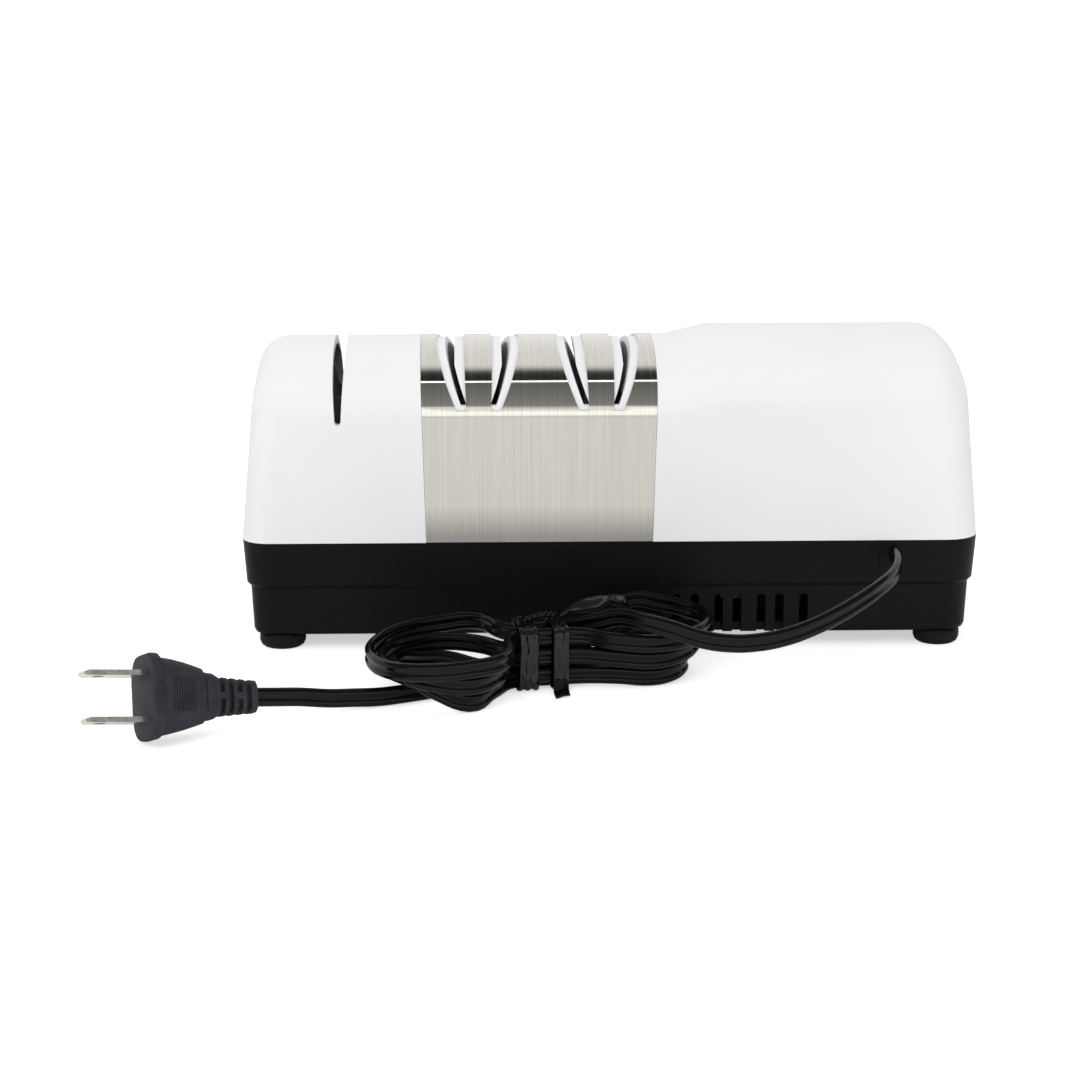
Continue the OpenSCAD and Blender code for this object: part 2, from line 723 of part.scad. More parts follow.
module motor_bolts() {
    color(dark_steel) for (p = bolt_places) {
        bar_x(bolt_r, bracket_x[0] - 4, bracket_x[1] + 1.2, p[0], p[1]);
        bar_x(3.2, bracket_x[1] + 1.2, bracket_x[1] + 3.4, p[0], p[1]);
        translate([bracket_x[0] - 3.8, p[0], p[1]]) rotate([0, 90, 0]) cylinder(r = 3.4, h = 2.55, $fn = 6);
    }
}

module rotor_core() {
    color(steel) difference() {
        union() {
            bar_x(rotor_r, stack_x[0], stack_x[1]);
            bar_x(rotor_r - 1.2, stack_x[0] - 2.5, stack_x[1] + 2.5);
        }
        bar_x(shaft_r, stack_x[0] - 5, stack_x[1] + 5);
        for (a = [15:30:345]) rotor_hole(a);
    }
}

// windage pockets in the rotor's end rings
module rotor_hole(a) {
    for (x = [stack_x[0] - 3, stack_x[1] + 1.5])
        bar_x(1, x, x + 1.5, 9.5 * cos(a), shaft_z + 9.5 * sin(a));
}

fan_x = [bracket_x[1] + 5, bracket_x[1] + 12];

module cooling_fan() {
    color(black) difference() {
        union() {
            bar_x(7, fan_x[0], fan_x[1]);
            bar_x(fan_r - 4, fan_x[1] - 1.6, fan_x[1]);
            for (i = [0:fan_blades - 1]) translate([0, 0, shaft_z]) rotate([360 / fan_blades * i, 0, 0])
                translate([fan_x[0], -0.7, 5]) rotate([0, 0, 8])
                cube([fan_x[1] - fan_x[0] - 0.6, 1.4, fan_r - 6]);
        }
        bar_x(shaft_r, fan_x[0] - 5, fan_x[1] + 5);
    }
}

// ---- switch ----

// the switch's own frame: X across, Z up the leaning front wall, Y out of it
module switch_place() {
    translate([switch_x, foot_y(1, 0, switch_z), switch_z]) rotate([front_draft, 0, 0]) children();
}

rocker_half = bezel[1] / 2 - 2.2;
pivot_y = -2.4;

module switch_body() {
    color(black) switch_place() difference() {
        union() {
            translate([0, 0.8, 0]) cube([bezel[0], 1.6, bezel[1]], center = true);
            translate([0, -6, 0]) cube([bezel[0] - 2, 12.4, bezel[1] - 2], center = true);
            for (z = [-4, 2]) translate([-2.4, -17, z]) cube([4.8, 5.5, 0.8]);
        }
        translate([0, -2, 0]) cube([bezel[0] - 4, 8, 2 * rocker_half + 0.6], center = true);
        translate([-far / 2, pivot_y, 0]) rotate([0, 90, 0]) cylinder(r = 0.8, h = far);
    }
}

// the rocker, drawn with its top half pressed in
module switch_rocker() {
    color([0.2, 0.2, 0.21]) switch_place() translate([0, pivot_y, 0]) rotate([rocker_swing / 2, 0, 0])
        difference() {
            translate([-(bezel[0] - 4) / 2 + 0.2, 0, 0]) rotate([90, 0, 90]) linear_extrude(bezel[0] - 4.4)
                polygon([[-2, -1.6], [-2, 1.6], [0.5, rocker_half - 0.5], [3.4, rocker_half - 0.9], [2.9, 0],
                    [3.4, -rocker_half + 0.9], [0.5, -rocker_half + 0.5]]);
            translate([-far / 2, 0, 0]) rotate([0, 90, 0]) cylinder(r = 0.8 + run_gap, h = far);
        }
}

module rocker_pin() {
    color(steel) switch_place() translate([-bezel[0] / 2 + 1.1, pivot_y, 0]) rotate([0, 90, 0])
        cylinder(r = 0.78, h = bezel[0] - 2.2);
}

// ---- hand stage ----

axle_r = 1.5;
cross_z = hand_slot_z + 2; // where the wheels cross under the slot
axle_z = cross_z - sqrt(wheel_r * wheel_r - axle_half * axle_half);
holder_y = wheel_count * wheel_step / 2 + 0.3;

module wheel_holder() {
    color([0.3, 0.3, 0.31]) difference() {
        union() {
            for (side = [-1, 1]) along_y(side * (holder_y + 1) - 1, side * (holder_y + 1) + 1)
                polygon([[hand_x - 12, floor_z], [hand_x + 12, floor_z], [hand_x + 12, axle_z + 4],
                    [hand_x + 6, axle_z + 12], [hand_x - 6, axle_z + 12], [hand_x - 12, axle_z + 4]]);
            translate([hand_x - 12, -holder_y - 2, floor_z]) cube([24, 2 * holder_y + 4, 2.5]);
        }
        for (side = [-1, 1]) bar_y(axle_r, -far / 2, far / 2, hand_x + side * axle_half, axle_z);
        along_y(-far / 2, far / 2) polygon([[hand_x - 1.1, cross_z - 0.6], [hand_x + 1.1, cross_z - 0.6],
            [hand_x + 2.6, axle_z + 13], [hand_x - 2.6, axle_z + 13]]);
    }
}

module wheel_axle(side) {
    color(steel) bar_y(axle_r - 0.02, -holder_y - 2.4, holder_y + 2.4, hand_x + side * axle_half, axle_z);
}

module wheel_axle_left() { wheel_axle(-1); }
module wheel_axle_right() { wheel_axle(1); }

// one set of wheels on its sleeve; shift moves it half a step so that the sets interleave
module wheels(side, shift) {
    x = hand_x + side * axle_half;
    y0 = -(wheel_count - 1) / 2 * wheel_step + shift;
    color(grit) difference() {
        union() {
            for (i = [0:wheel_count - 1]) {
                y = y0 + i * wheel_step;
                bar_y(wheel_r - 0.4, y - wheel_t / 2, y + wheel_t / 2, x, axle_z);
                bar_y(wheel_r, y - wheel_t / 2 + 0.25, y + wheel_t / 2 - 0.25, x, axle_z);
            }
            bar_y(3.2, y0 - wheel_t / 2, y0 + (wheel_count - 1) * wheel_step + wheel_t / 2, x, axle_z);
        }
        bar_y(axle_r + run_gap, -far / 2, far / 2, x, axle_z);
    }
}

module hand_wheels_left() { wheels(-1, -wheel_step / 4); }
module hand_wheels_right() { wheels(1, wheel_step / 4); }

// ---- cord ----

exit_y = -half_d;
exit_z = bushing_z + 3.8;

module cord_bushing() {
    color([0.13, 0.13, 0.135]) {
        translate([bushing_x, 0, 0]) along_y(exit_y, -half_d + 3.2)
            translate([0, (bushing_z + seam_z) / 2]) rounded([bushing_w - 0.1, seam_z - bushing_z - 0.1], 0.9);
        // flange behind the wall
        translate([bushing_x - bushing_w / 2 - 1.8, -half_d + cover_wall + 0.2, bushing_z - 1.3])
            cube([bushing_w + 3.6, 2, seam_z - bushing_z + 1.1]);
    }
}

hank_at = [-21, -78];
hank_turn = 10;
layer = cord_w + 0.5;
column = 3.4; // the runs' distance from the middle of the waist
low_run = 3.5; // height of the lowest runs at the waist
part_over = 8; // the runs of one side part from each other over this length past the waist
level_from = 17; // and leave their levels past this
left_mid = 4; // middles of the left and right loops, across the hank
right_mid = -5;
// heights of the left loops at the rear, the tip and the front, and of the right loops, outermost first
left_z = [[14.2, 12, 14.6], [9.6, 10.2, 8.7], [5, 9, 2.8]];
right_z = [[14.6, 16, 17.5], [8.7, 11, 9.5], [2.8, 4, 2.8]];
hank_end = 2 * hank_turns + 1;

// the cord from its bushing to the hank
lead = [[bushing_x, exit_y, exit_z], [bushing_x, exit_y - 6, exit_z], [bushing_x - 0.6, exit_y - 13, exit_z - 0.4],
    [bushing_x - 3, exit_y - 21, 28], [bushing_x - 8, exit_y - 29.2, 26.6], [69.5, -79.2, 24.6], [62.5, -84.8, 22.2],
    [54.5, -89.6, 19.8], [46.5, -93, 18], [38.5, -94.8, 17], [30.5, -95.4, 17], [22.5, -95, 18.2],
    [14.5, -92.7, 20.4], [7, -88.5, 21.5], on_table([20, 8.1, 21.2]), on_table([15, 3.4, 18.9]),
    on_table([10, -1.2, 16.8]), on_table([6, -3.2, 15.4])];

// the cord from the hank to the plug, under the end of the left loops
tail = [on_table([-9, 0, 3.3]), on_table([-14, 0.7, 2.9]), on_table([-20, 2.4, 2.8]), on_table([-27, 4.9, 2.8]),
    on_table([-34, 7.2, 2.8]), on_table([-43, 10, 2.8]), on_table([-50, 11.8, 2.9]), [-75, -100.6, 3.4],
    [-82, -103.6, 4.2], [-90, -107.4, 5.8], [-96, -111.3, 7]];

function smooth_fan(u, half) = (1 - cos(180 * min(1, max(0, (abs(u) - waist_flat) / (half - waist_flat))))) / 2;
function half_of(right) = right ? right_half : left_half;
function radius_of(right, k) = (right ? right_r : left_r) - loop_step * k;

// [along, across, height] at run j; whole numbers lie at the waist, halves at the tip of a loop.
// Odd runs lead left at the rear, even runs lead right at the front.
function hank_uvz(j) = let(n = round(j), f = j - n) abs(f) <= 0.25 ? run_point(n, f) : loop_point(floor(j), j);

function run_point(n, f) = let(
    odd = n % 2 == 1, side = odd ? -1 : 1, right = side * f > 0 || n == hank_end,
    half = half_of(right), u = side * half * f / 0.25,
    k = right ? floor((n - 2) / 2) : floor((n - 1) / 2),
    inner = (right ? right_mid : left_mid) + side * radius_of(right, hank_turns - 1),
    from = right && odd ? 0 : side * column,
    parted = smooth((abs(u) - waist_flat) / part_over),
    steps = right && odd ? (k == hank_turns - 1 ? 0 : 1 + (hank_turns - 2 - k) * parted) : (hank_turns - 1 - k) * parted,
    slope = (inner - from) * (smooth_fan(abs(u) + 0.5, half) - smooth_fan(abs(u) - 0.5, half)),
    v = mix(from, inner, smooth_fan(u, half)) + side * loop_step * steps * norm([1, slope]),
    end_z = right ? right_z[k][odd ? 2 : 0] : left_z[k][odd ? 0 : 2],
    level = low_run + layer * (hank_turns - 1 - min(hank_turns - 1, floor((n - 1) / 2))))
    [u, v, mix(level, end_z, smooth((abs(u) - level_from) / (half - level_from)))];

function loop_point(n, j) = let(
    right = n % 2 == 0, k = floor((n - 1) / 2), a = (j - n - 0.25) * 2, r = radius_of(right, k),
    side = right ? 1 : -1, z = right ? right_z[k] : left_z[k])
    [side * (half_of(right) + r * sin(180 * a)), (right ? right_mid : left_mid) + side * r * cos(180 * a),
        a < 0.5 ? mix(z[0], z[1], smooth(a / 0.45)) : mix(z[1], z[2], smooth((a - 0.68) / 0.32))];

function on_table(p) = [hank_at[0] + p[0] * cos(hank_turn) + p[1] * sin(hank_turn),
    hank_at[1] + p[0] * sin(hank_turn) - p[1] * cos(hank_turn), p[2]];

function hank_point(j) = on_table(hank_uvz(j));

hank_path = [for (k = [0:(hank_end - 1) * 12]) hank_point(1 + k / 12)];

module cord_along(path, first, last, n) {
    color(black) loft([for (i = [0:len(path) - 1])
        section_ring(path[i], i == 0 ? first : i == len(path) - 1 ? last : heading(path, i), cord_t, cord_w, n)]);
}

hank_in = on_table([-1, 0, 0]) - on_table([0, 0, 0]);

module cord_lead() { cord_along(concat(lead, [hank_path[0]]), [0, -1, 0], hank_in, 8); }
module cord_hank() { cord_along(hank_path, hank_in, hank_in, 6); }
module cord_tail() { cord_along(concat([hank_path[len(hank_path) - 1]], tail, [plug_at]), hank_in, plug_axis, 8); }

// least gap between stretches of the hank that are more than a third of a turn apart
fine_path = [for (k = [0:240]) hank_point(mix(1, hank_end, k / 240))];
gap_at = [for (a = [0:225], b = [a + 14:240]) let(d = fine_path[a] - fine_path[b],
    level = norm([d[0], d[1]]) - cord_t, upright = abs(d[2]) - cord_w)
    norm([max(0, level), max(0, upright)])];
echo(least_gap_of_the_hank = min([for (g = gap_at) if (!is_undef(g)) g]));

// a twist tie round the waist, as a flat band
tie_low = 0.2;
tie_high = low_run + 2 * layer + cord_w / 2 + 0.8;
tie_v = [-column - cord_t / 2 - 1.8, column + cord_t / 2 + 2.5];
tie_t = 0.5;

module tie(u, w) {
    mid = (tie_v[0] + tie_v[1]) / 2;
    size = [tie_v[1] - tie_v[0], tie_high - tie_low];
    translate([hank_at[0], hank_at[1], 0]) rotate([0, 0, hank_turn])
        along_x(u - w / 2, u + w / 2) translate([-mid, (tie_low + tie_high) / 2]) difference() {
            rounded(size, 2);
            rounded(size - [2 * tie_t, 2 * tie_t], 2 - tie_t);
        }
}

module cord_tie_left() { color([0.09, 0.09, 0.095]) tie(-5.9, 5.6); }
module cord_tie_right() { color([0.09, 0.09, 0.095]) tie(3.5, 4.6); }

// ---- plug ----

// back of the plug's strain relief, and the way that its blades point
plug_at = [-102, -115.2, 8.2];
plug_yaw = 28;
plug_pitch = 8.5;
plug_roll = 22;
plug_axis = [-cos(plug_yaw) * cos(plug_pitch), -sin(plug_yaw) * cos(plug_pitch), sin(plug_pitch)];
blade_gap = 12.7;
relief_l = 13;
plug_l = 33;

// the plug's own frame: X along the blades' way, Z from one blade to the other
module plug_place() {
    translate(plug_at) rotate([0, 0, 180 + plug_yaw]) rotate([0, -plug_pitch, 0]) rotate([plug_roll, 0, 0])
        children();
}

module plug_slice(x, size, r) {
    translate([x, 0, 0]) rotate([90, 0, 90]) linear_extrude(0.2) rounded(size, r);
}

module plug_body() {
    color(black) plug_place() difference() {
        union() {
            hull() { // strain relief
                plug_slice(0, [cord_t + 3.6, cord_w + 3.4], 2.6);
                plug_slice(relief_l, [cord_t + 5.4, cord_w + 6], 3.4);
            }
            hull() { // shoulder
                plug_slice(relief_l - 1, [9, 13], 3.8);
                plug_slice(relief_l + 3.6, [11.5, 15.5], 4.4);
            }
            hull() { // grip
                plug_slice(relief_l + 3.4, [12, 16.4], 4.4);
                plug_slice(plug_l - 2.6, [15, 21.4], 5.4);
            }
            hull() { // flange round the face
                plug_slice(plug_l - 2.8, [16.8, 23.6], 6.2);
                plug_slice(plug_l - 0.2, [16, 22.8], 5.8);
            }
        }
        // slots of the strain relief
        for (i = [0:3], side = [-1, 1]) translate([2 + 2.8 * i, side * 6 - 3.6, i % 2 == 0 ? -3.2 : 0.8])
            cube([1.4, 7.2, 2.4]);
    }
}

module plug_blades() {
    color(brass) plug_place() for (side = [-1, 1])
        translate([plug_l, -3.2, side * blade_gap / 2 - 0.75]) difference() {
            hull() {
                cube([16.4, 6.4, 1.5]);
                translate([17.4, 1, 0.3]) cube([0.1, 4.4, 0.9]);
            }
            translate([12.8, 3.2, -1]) cylinder(r = 1.6, h = 4);
        }
}

base_tray();
top_cover();
steel_wrap();
blade_guides();
guide_magnets();
foot_rear_left();
foot_rear_right();
foot_front_left();
foot_front_right();
cover_screws();
cleanout_door();
swarf_magnet();
cord_bushing();
cord_lead();
cord_hank();
cord_tail();
cord_tie_left();
cord_tie_right();
plug_body();
plug_blades();
stator_stack();
coil_bobbin();
motor_coil();
front_bracket();
rear_bracket();
motor_bearings();
motor_bolts();
outboard_bracket();
outboard_bearing();
drive_shaft();
rotor_core();
cooling_fan();
stop_pins();
coarse_disc_left();
coarse_disc_right();
fine_disc_left();
fine_disc_right();
coarse_spring();
fine_spring();
switch_body();
switch_rocker();
rocker_pin();
wheel_holder();
wheel_axle_left();
wheel_axle_right();
hand_wheels_left();
hand_wheels_right();
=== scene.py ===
import bpy, bmesh, json, math
from mathutils import Matrix, Vector, noise


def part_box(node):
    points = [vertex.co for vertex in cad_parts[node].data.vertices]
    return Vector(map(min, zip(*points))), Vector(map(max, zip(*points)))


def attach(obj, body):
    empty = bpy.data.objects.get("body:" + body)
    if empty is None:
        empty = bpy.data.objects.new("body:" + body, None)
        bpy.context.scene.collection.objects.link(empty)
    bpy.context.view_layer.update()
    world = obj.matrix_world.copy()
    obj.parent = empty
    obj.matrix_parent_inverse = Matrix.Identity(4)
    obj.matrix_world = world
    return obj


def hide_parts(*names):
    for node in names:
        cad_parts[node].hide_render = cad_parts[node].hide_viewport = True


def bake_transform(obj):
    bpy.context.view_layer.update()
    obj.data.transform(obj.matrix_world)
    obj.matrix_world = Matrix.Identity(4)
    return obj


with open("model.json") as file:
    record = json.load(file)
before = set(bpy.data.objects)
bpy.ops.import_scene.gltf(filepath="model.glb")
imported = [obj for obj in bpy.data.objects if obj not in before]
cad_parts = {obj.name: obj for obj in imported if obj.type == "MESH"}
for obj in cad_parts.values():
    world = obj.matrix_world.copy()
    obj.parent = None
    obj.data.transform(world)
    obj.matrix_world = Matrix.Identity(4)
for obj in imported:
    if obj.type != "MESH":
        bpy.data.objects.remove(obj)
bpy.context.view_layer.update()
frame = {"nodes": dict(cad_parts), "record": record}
print("frame loaded:", len(frame["nodes"]), "nodes")


# camera: on the cord side, a little above the housing

cameraSettings = {  # metres and degrees; lens and sensor in millimetres
    "place": (-0.0444, -0.943, 0.2595), "lens": 104.47, "sensor": 36, "down": 14.05, "turn": 1.462,
    "farthest": 20,
}


def makeCamera(s):
    data = bpy.data.cameras.new("productCamera")
    data.lens = s["lens"]
    data.sensor_width = s["sensor"]
    data.clip_end = s["farthest"]
    cam = bpy.data.objects.new("productCamera", data)
    cam.location = s["place"]
    cam.rotation_euler = (math.radians(90 - s["down"]), 0, math.radians(-s["turn"]))
    bpy.context.scene.collection.objects.link(cam)
    bpy.context.scene.camera = cam


makeCamera(cameraSettings)


# small helpers

def hexColour(text):
    # an sRGB colour such as #F0F0F2, as the linear values that Blender reads
    parts = [int(text[i:i + 2], 16) / 255 for i in (1, 3, 5)]
    return tuple(c / 12.92 if c <= 0.04045 else ((c + 0.055) / 1.055) ** 2.4 for c in parts) + (1.0,)


def addNode(tree, kind, settings=None, links=None, **values):
    # values go on the node itself, settings on its input sockets, links come from (node, output)
    node = tree.nodes.new(kind)
    for key, value in values.items():
        setattr(node, key, value)
    for key, value in (settings or {}).items():
        node.inputs[key].default_value = value
    for key, source in (links or {}).items():
        tree.links.new(source[0].outputs[source[1]], node.inputs[key])
    return node


def newMaterial(name, colour, rough, metal=0.0, **sockets):
    # a Principled surface and its tree; the caller adds the pattern
    mat = bpy.data.materials.new(name)
    mat.use_nodes = True
    tree = mat.node_tree
    tree.nodes.clear()
    shader = addNode(tree, "ShaderNodeBsdfPrincipled",
                     {"Base Color": hexColour(colour), "Roughness": rough, "Metallic": metal})
    for key, value in sockets.items():
        shader.inputs[key.replace("_", " ")].default_value = value
    addNode(tree, "ShaderNodeOutputMaterial", links={"Surface": (shader, "BSDF")})
    mat.diffuse_color = hexColour(colour)
    return mat, tree, shader


def setRamp(node, stops):
    # stops are (place, colour) in rising order
    ramp = node.color_ramp
    while len(ramp.elements) > 1:
        ramp.elements.remove(ramp.elements[-1])
    ramp.elements[0].position, ramp.elements[0].color = stops[0]
    for place, colour in stops[1:]:
        ramp.elements.new(place).color = colour
    return node


def grey(v):
    return (v, v, v, 1)


def roughPattern(tree, shader, source, low, high):
    spread = addNode(tree, "ShaderNodeMapRange", {"To Min": low, "To Max": high}, {"Value": source})
    tree.links.new(spread.outputs["Result"], shader.inputs["Roughness"])


def colourPattern(tree, shader, source, first, second, start=0.35, end=0.65):
    ramp = setRamp(addNode(tree, "ShaderNodeValToRGB", links={"Fac": source}),
                   [(start, hexColour(first)), (end, hexColour(second))])
    tree.links.new(ramp.outputs["Color"], shader.inputs["Base Color"])
    return ramp


def bumpPattern(tree, shader, source, distance, strength=1.0):
    bump = addNode(tree, "ShaderNodeBump", {"Distance": distance, "Strength": strength}, {"Height": source})
    tree.links.new(bump.outputs["Normal"], shader.inputs["Normal"])


def objectNoise(tree, perMetre, stretch=(1, 1, 1), detail=3.0, rough=0.5):
    where = addNode(tree, "ShaderNodeTexCoord")
    mapping = addNode(tree, "ShaderNodeMapping", {"Scale": stretch}, {"Vector": (where, "Object")})
    return addNode(tree, "ShaderNodeTexNoise", {"Scale": perMetre, "Detail": detail, "Roughness": rough},
                   {"Vector": (mapping, "Vector")})


# materials, each named for what the real one is

def glossAbs(name, first, second, rough):
    # injection-moulded ABS from a polished mould: even colour, faint flow waviness, soft gloss
    mat, tree, shader = newMaterial(name, first, rough, IOR=1.53)
    flow = objectNoise(tree, 18, detail=2)
    colourPattern(tree, shader, (flow, "Fac"), first, second)
    fine = objectNoise(tree, 160, detail=2)  # 6 mm waviness of the mould's polish
    roughPattern(tree, shader, (fine, "Fac"), rough * 0.9, rough * 1.12)
    bumpPattern(tree, shader, (fine, "Fac"), 0.00002, 0.4)
    return mat


def sparkedAbs(name, first, second, rough, grain=1400, depth=0.00005, sheen=0.5):
    # ABS from a spark-eroded mould: matt grain of about 0.7 mm, slightly worn to a sheen
    mat, tree, shader = newMaterial(name, first, rough, IOR=1.5, Specular_IOR_Level=sheen)
    cells = objectNoise(tree, grain, detail=4, rough=0.65)
    patches = objectNoise(tree, 25, detail=3)
    colourPattern(tree, shader, (cells, "Fac"), first, second)
    roughPattern(tree, shader, (patches, "Fac"), rough * 0.88, rough * 1.12)
    bumpPattern(tree, shader, (cells, "Fac"), depth, 0.6)
    return mat


def brushedStainless(name):
    # ferritic stainless sheet, belt-brushed up the wrap: hair lines 0.1 mm apart in X only
    mat, tree, shader = newMaterial(name, "#CFCBC0", 0.2, 1.0)
    lines = objectNoise(tree, 1, (9000, 40, 40), detail=3, rough=0.5)
    broad = objectNoise(tree, 1, (1800, 20, 20), detail=2)
    both = addNode(tree, "ShaderNodeMath", {}, {0: (lines, "Fac"), 1: (broad, "Fac")}, operation="ADD")
    half = addNode(tree, "ShaderNodeMath", {1: 0.5}, {0: (both, "Value")}, operation="MULTIPLY")
    ramp = colourPattern(tree, shader, (half, "Value"), "#C4C1B7", "#D5D3CB", 0.34, 0.66)
    # painted reflection: the bottom of the wall would mirror the dark base, so the steel's colour is painted
    # darker between two heights
    paintedReflectionTop, paintedReflectionBottom, paintedReflectionDarkest = 0.0445, 0.0352, 0.5
    where = addNode(tree, "ShaderNodeTexCoord")
    parts = addNode(tree, "ShaderNodeSeparateXYZ", links={"Vector": (where, "Object")})
    paintedReflectionFade = addNode(tree, "ShaderNodeMapRange",
                   {"From Min": paintedReflectionBottom, "From Max": paintedReflectionTop, "To Min": paintedReflectionDarkest, "To Max": 1.0},
                   {"Value": (parts, "Z")})
    # the colour scaled down towards the bottom is a painted reflection of the dark base
    paintedReflectionColour = addNode(tree, "ShaderNodeVectorMath", {}, {"Vector": (ramp, "Color"), "Scale": (paintedReflectionFade, "Result")},
                     operation="SCALE")
    tree.links.new(paintedReflectionColour.outputs["Vector"], shader.inputs["Base Color"])
    roughPattern(tree, shader, (half, "Value"), 0.07, 0.15)
    bumpPattern(tree, shader, (lines, "Fac"), 0.000012, 0.4)
    return mat


def sheetMetal(name, first, second, rough, stretch=(1, 1, 1), perMetre=700, bump=0.00002):
    # machined or rolled metal: tool marks along one way, uneven sheen
    mat, tree, shader = newMaterial(name, first, rough, 1.0)
    marks = objectNoise(tree, perMetre, stretch, detail=4)
    colourPattern(tree, shader, (marks, "Fac"), first, second)
    roughPattern(tree, shader, (marks, "Fac"), rough * 0.75, rough * 1.3)
    bumpPattern(tree, shader, (marks, "Fac"), bump, 0.4)
    return mat


def softVinyl(name, first, second, rough, sheen=0.5):
    # plasticised PVC, extruded or moulded: deep black with a waxy sheen and faint draw lines
    mat, tree, shader = newMaterial(name, first, rough, IOR=1.52, Specular_IOR_Level=sheen)
    draw = objectNoise(tree, 260, detail=4)
    colourPattern(tree, shader, (draw, "Fac"), first, second)
    roughPattern(tree, shader, (draw, "Fac"), rough * 0.8, rough * 1.35)
    bumpPattern(tree, shader, (draw, "Fac"), 0.00002, 0.3)
    return mat


def gritCoat(name, first, second, perMetre):
    # diamond grit in nickel plate: sharp speckle, dull between the grains
    mat, tree, shader = newMaterial(name, first, 0.45, 0.8)
    where = addNode(tree, "ShaderNodeTexCoord")
    grains = addNode(tree, "ShaderNodeTexVoronoi", {"Scale": perMetre}, {"Vector": (where, "Object")})
    colourPattern(tree, shader, (grains, "Distance"), second, first, 0.1, 0.7)
    roughPattern(tree, shader, (grains, "Distance"), 0.25, 0.7)
    bumpPattern(tree, shader, (grains, "Distance"), 0.00008, 0.8)
    return mat


def woundCopper(name):
    # enamelled wire laid turn by turn: 0.4 mm ribs round the bobbin
    mat, tree, shader = newMaterial(name, "#A8562C", 0.3, 1.0)
    where = addNode(tree, "ShaderNodeTexCoord")
    turns = addNode(tree, "ShaderNodeTexWave", {"Scale": 400, "Distortion": 0.6, "Detail": 2},
                    {"Vector": (where, "Object")}, bands_direction="Y")
    colourPattern(tree, shader, (turns, "Fac"), "#6E3216", "#C97845", 0.1, 0.8)
    roughPattern(tree, shader, (turns, "Fac"), 0.4, 0.22)
    bumpPattern(tree, shader, (turns, "Fac"), 0.0001, 0.8)
    return mat


def stackedLamination(name):
    # silicon-steel stampings stacked along X: 0.5 mm sheets with dark oxide between
    mat, tree, shader = newMaterial(name, "#55565A", 0.5, 0.9)
    where = addNode(tree, "ShaderNodeTexCoord")
    sheets = addNode(tree, "ShaderNodeTexWave", {"Scale": 320, "Distortion": 0.2},
                     {"Vector": (where, "Object")}, bands_direction="X")
    colourPattern(tree, shader, (sheets, "Fac"), "#2C2C2F", "#77787B", 0.1, 0.6)
    roughPattern(tree, shader, (sheets, "Fac"), 0.7, 0.4)
    bumpPattern(tree, shader, (sheets, "Fac"), 0.0001, 0.7)
    return mat


materials = {  # the keys are the record's material slots, apart from plug_vinyl
    "white_shell": glossAbs("whiteGlossAbs", "#EDEDEF", "#F0F0F2", 0.4),
    "brushed_wrap": brushedStainless("brushedStainlessSheet"),
    "black_base": sparkedAbs("blackSparkedAbs", "#09090A", "#101012", 0.42, depth=0.00003, sheen=0.13),
    "rubber_feet": sparkedAbs("blackNitrileRubber", "#0C0C0D", "#161617", 0.62, 900, 0.00004, 0.2),
    "guide_plastic": sparkedAbs("greyAcetal", "#6D6D72", "#7E7E84", 0.42),
    "magnet": sheetMetal("sinteredFerrite", "#2B2B2E", "#3A3A3D", 0.6),
    "screw_steel": sheetMetal("zincPlatedSteel", "#7D7F84", "#9A9CA0", 0.35),
    "cord_jacket": softVinyl("blackPvcJacket", "#050506", "#080809", 0.16, 0.2),
    "plug_vinyl": softVinyl("blackPvcPlug", "#24262C", "#2E3138", 0.5, 0.25),
    "tie_film": softVinyl("blackTieFilm", "#070708", "#0D0D0F", 0.14, 0.45),
    "blade_brass": sheetMetal("nickelPlatedBrass", "#CFC9BD", "#EDEAE4", 0.22, (1, 1, 1), 500),
    "lamination": stackedLamination("siliconSteelStack"),
    "bobbin": sparkedAbs("naturalNylon", "#D9D4C4", "#E4E0D2", 0.5),
    "copper_winding": woundCopper("enamelledCopperWire"),
    "zinc_bracket": sheetMetal("zincPlatedSheet", "#A2A5AA", "#BEC0C4", 0.35),
    "bronze_bush": sheetMetal("sinteredBronze", "#9A6E3C", "#B88A54", 0.45),
    "shaft_steel": sheetMetal("groundSilverSteel", "#9C9DA0", "#C2C3C6", 0.22, (1, 8, 8), 900),
    "rotor_steel": sheetMetal("castAluminiumRotor", "#9A9CA0", "#B5B7BA", 0.4),
    "fan_plastic": sparkedAbs("blackNylonFan", "#121214", "#1B1B1E", 0.5),
    "coarse_grit": gritCoat("coarseDiamondPlate", "#8C8473", "#5E584C", 2600),
    "fine_grit": gritCoat("fineDiamondPlate", "#B4B2AC", "#86847E", 4200),
    "spring_steel": sheetMetal("drawnSpringWire", "#A9AAAD", "#CFD0D3", 0.25),
    "switch_black": glossAbs("blackGlossPolyamide", "#101012", "#161619", 0.3),
    "rocker_black": glossAbs("blackGlossRocker", "#18181B", "#1F1F23", 0.25),
}
print("materials made:", len(materials))

slotOf = {p["node"]: p["material_slot"] for p in frame["record"]["subparts"]}
bodyOf = {n: b for b, names in frame["record"]["behaviour"]["bodies"].items() for n in names}


def paint(obj, key):
    obj.data.materials.clear()
    obj.data.materials.append(materials[key])


for nodeName, obj in frame["nodes"].items():
    paint(obj, slotOf[nodeName])


mergeWithin = {"cad": 0.000004, "sweep": 0.000002, "film": 0.00001}  # metres
sharpAbove = {"spring": 35, "sweep": 50, "plug": 38}  # degrees


def shadeByAngle(bm, angle):
    # smooth faces, with the edges that turn by more than the angle kept sharp
    for face in bm.faces:
        face.smooth = True
    for edge in bm.edges:
        edge.smooth = len(edge.link_faces) == 2 and edge.calc_face_angle(0) < math.radians(angle)


def placeMesh(bm, name, key, body="root"):
    # a finished shape as a piece, on its body when one is given
    mesh = bpy.data.meshes.new(name)
    bm.to_mesh(mesh)
    bm.free()
    obj = bpy.data.objects.new(name, mesh)
    bpy.context.scene.collection.objects.link(obj)
    paint(obj, key)
    if body:
        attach(obj, body)
    return obj


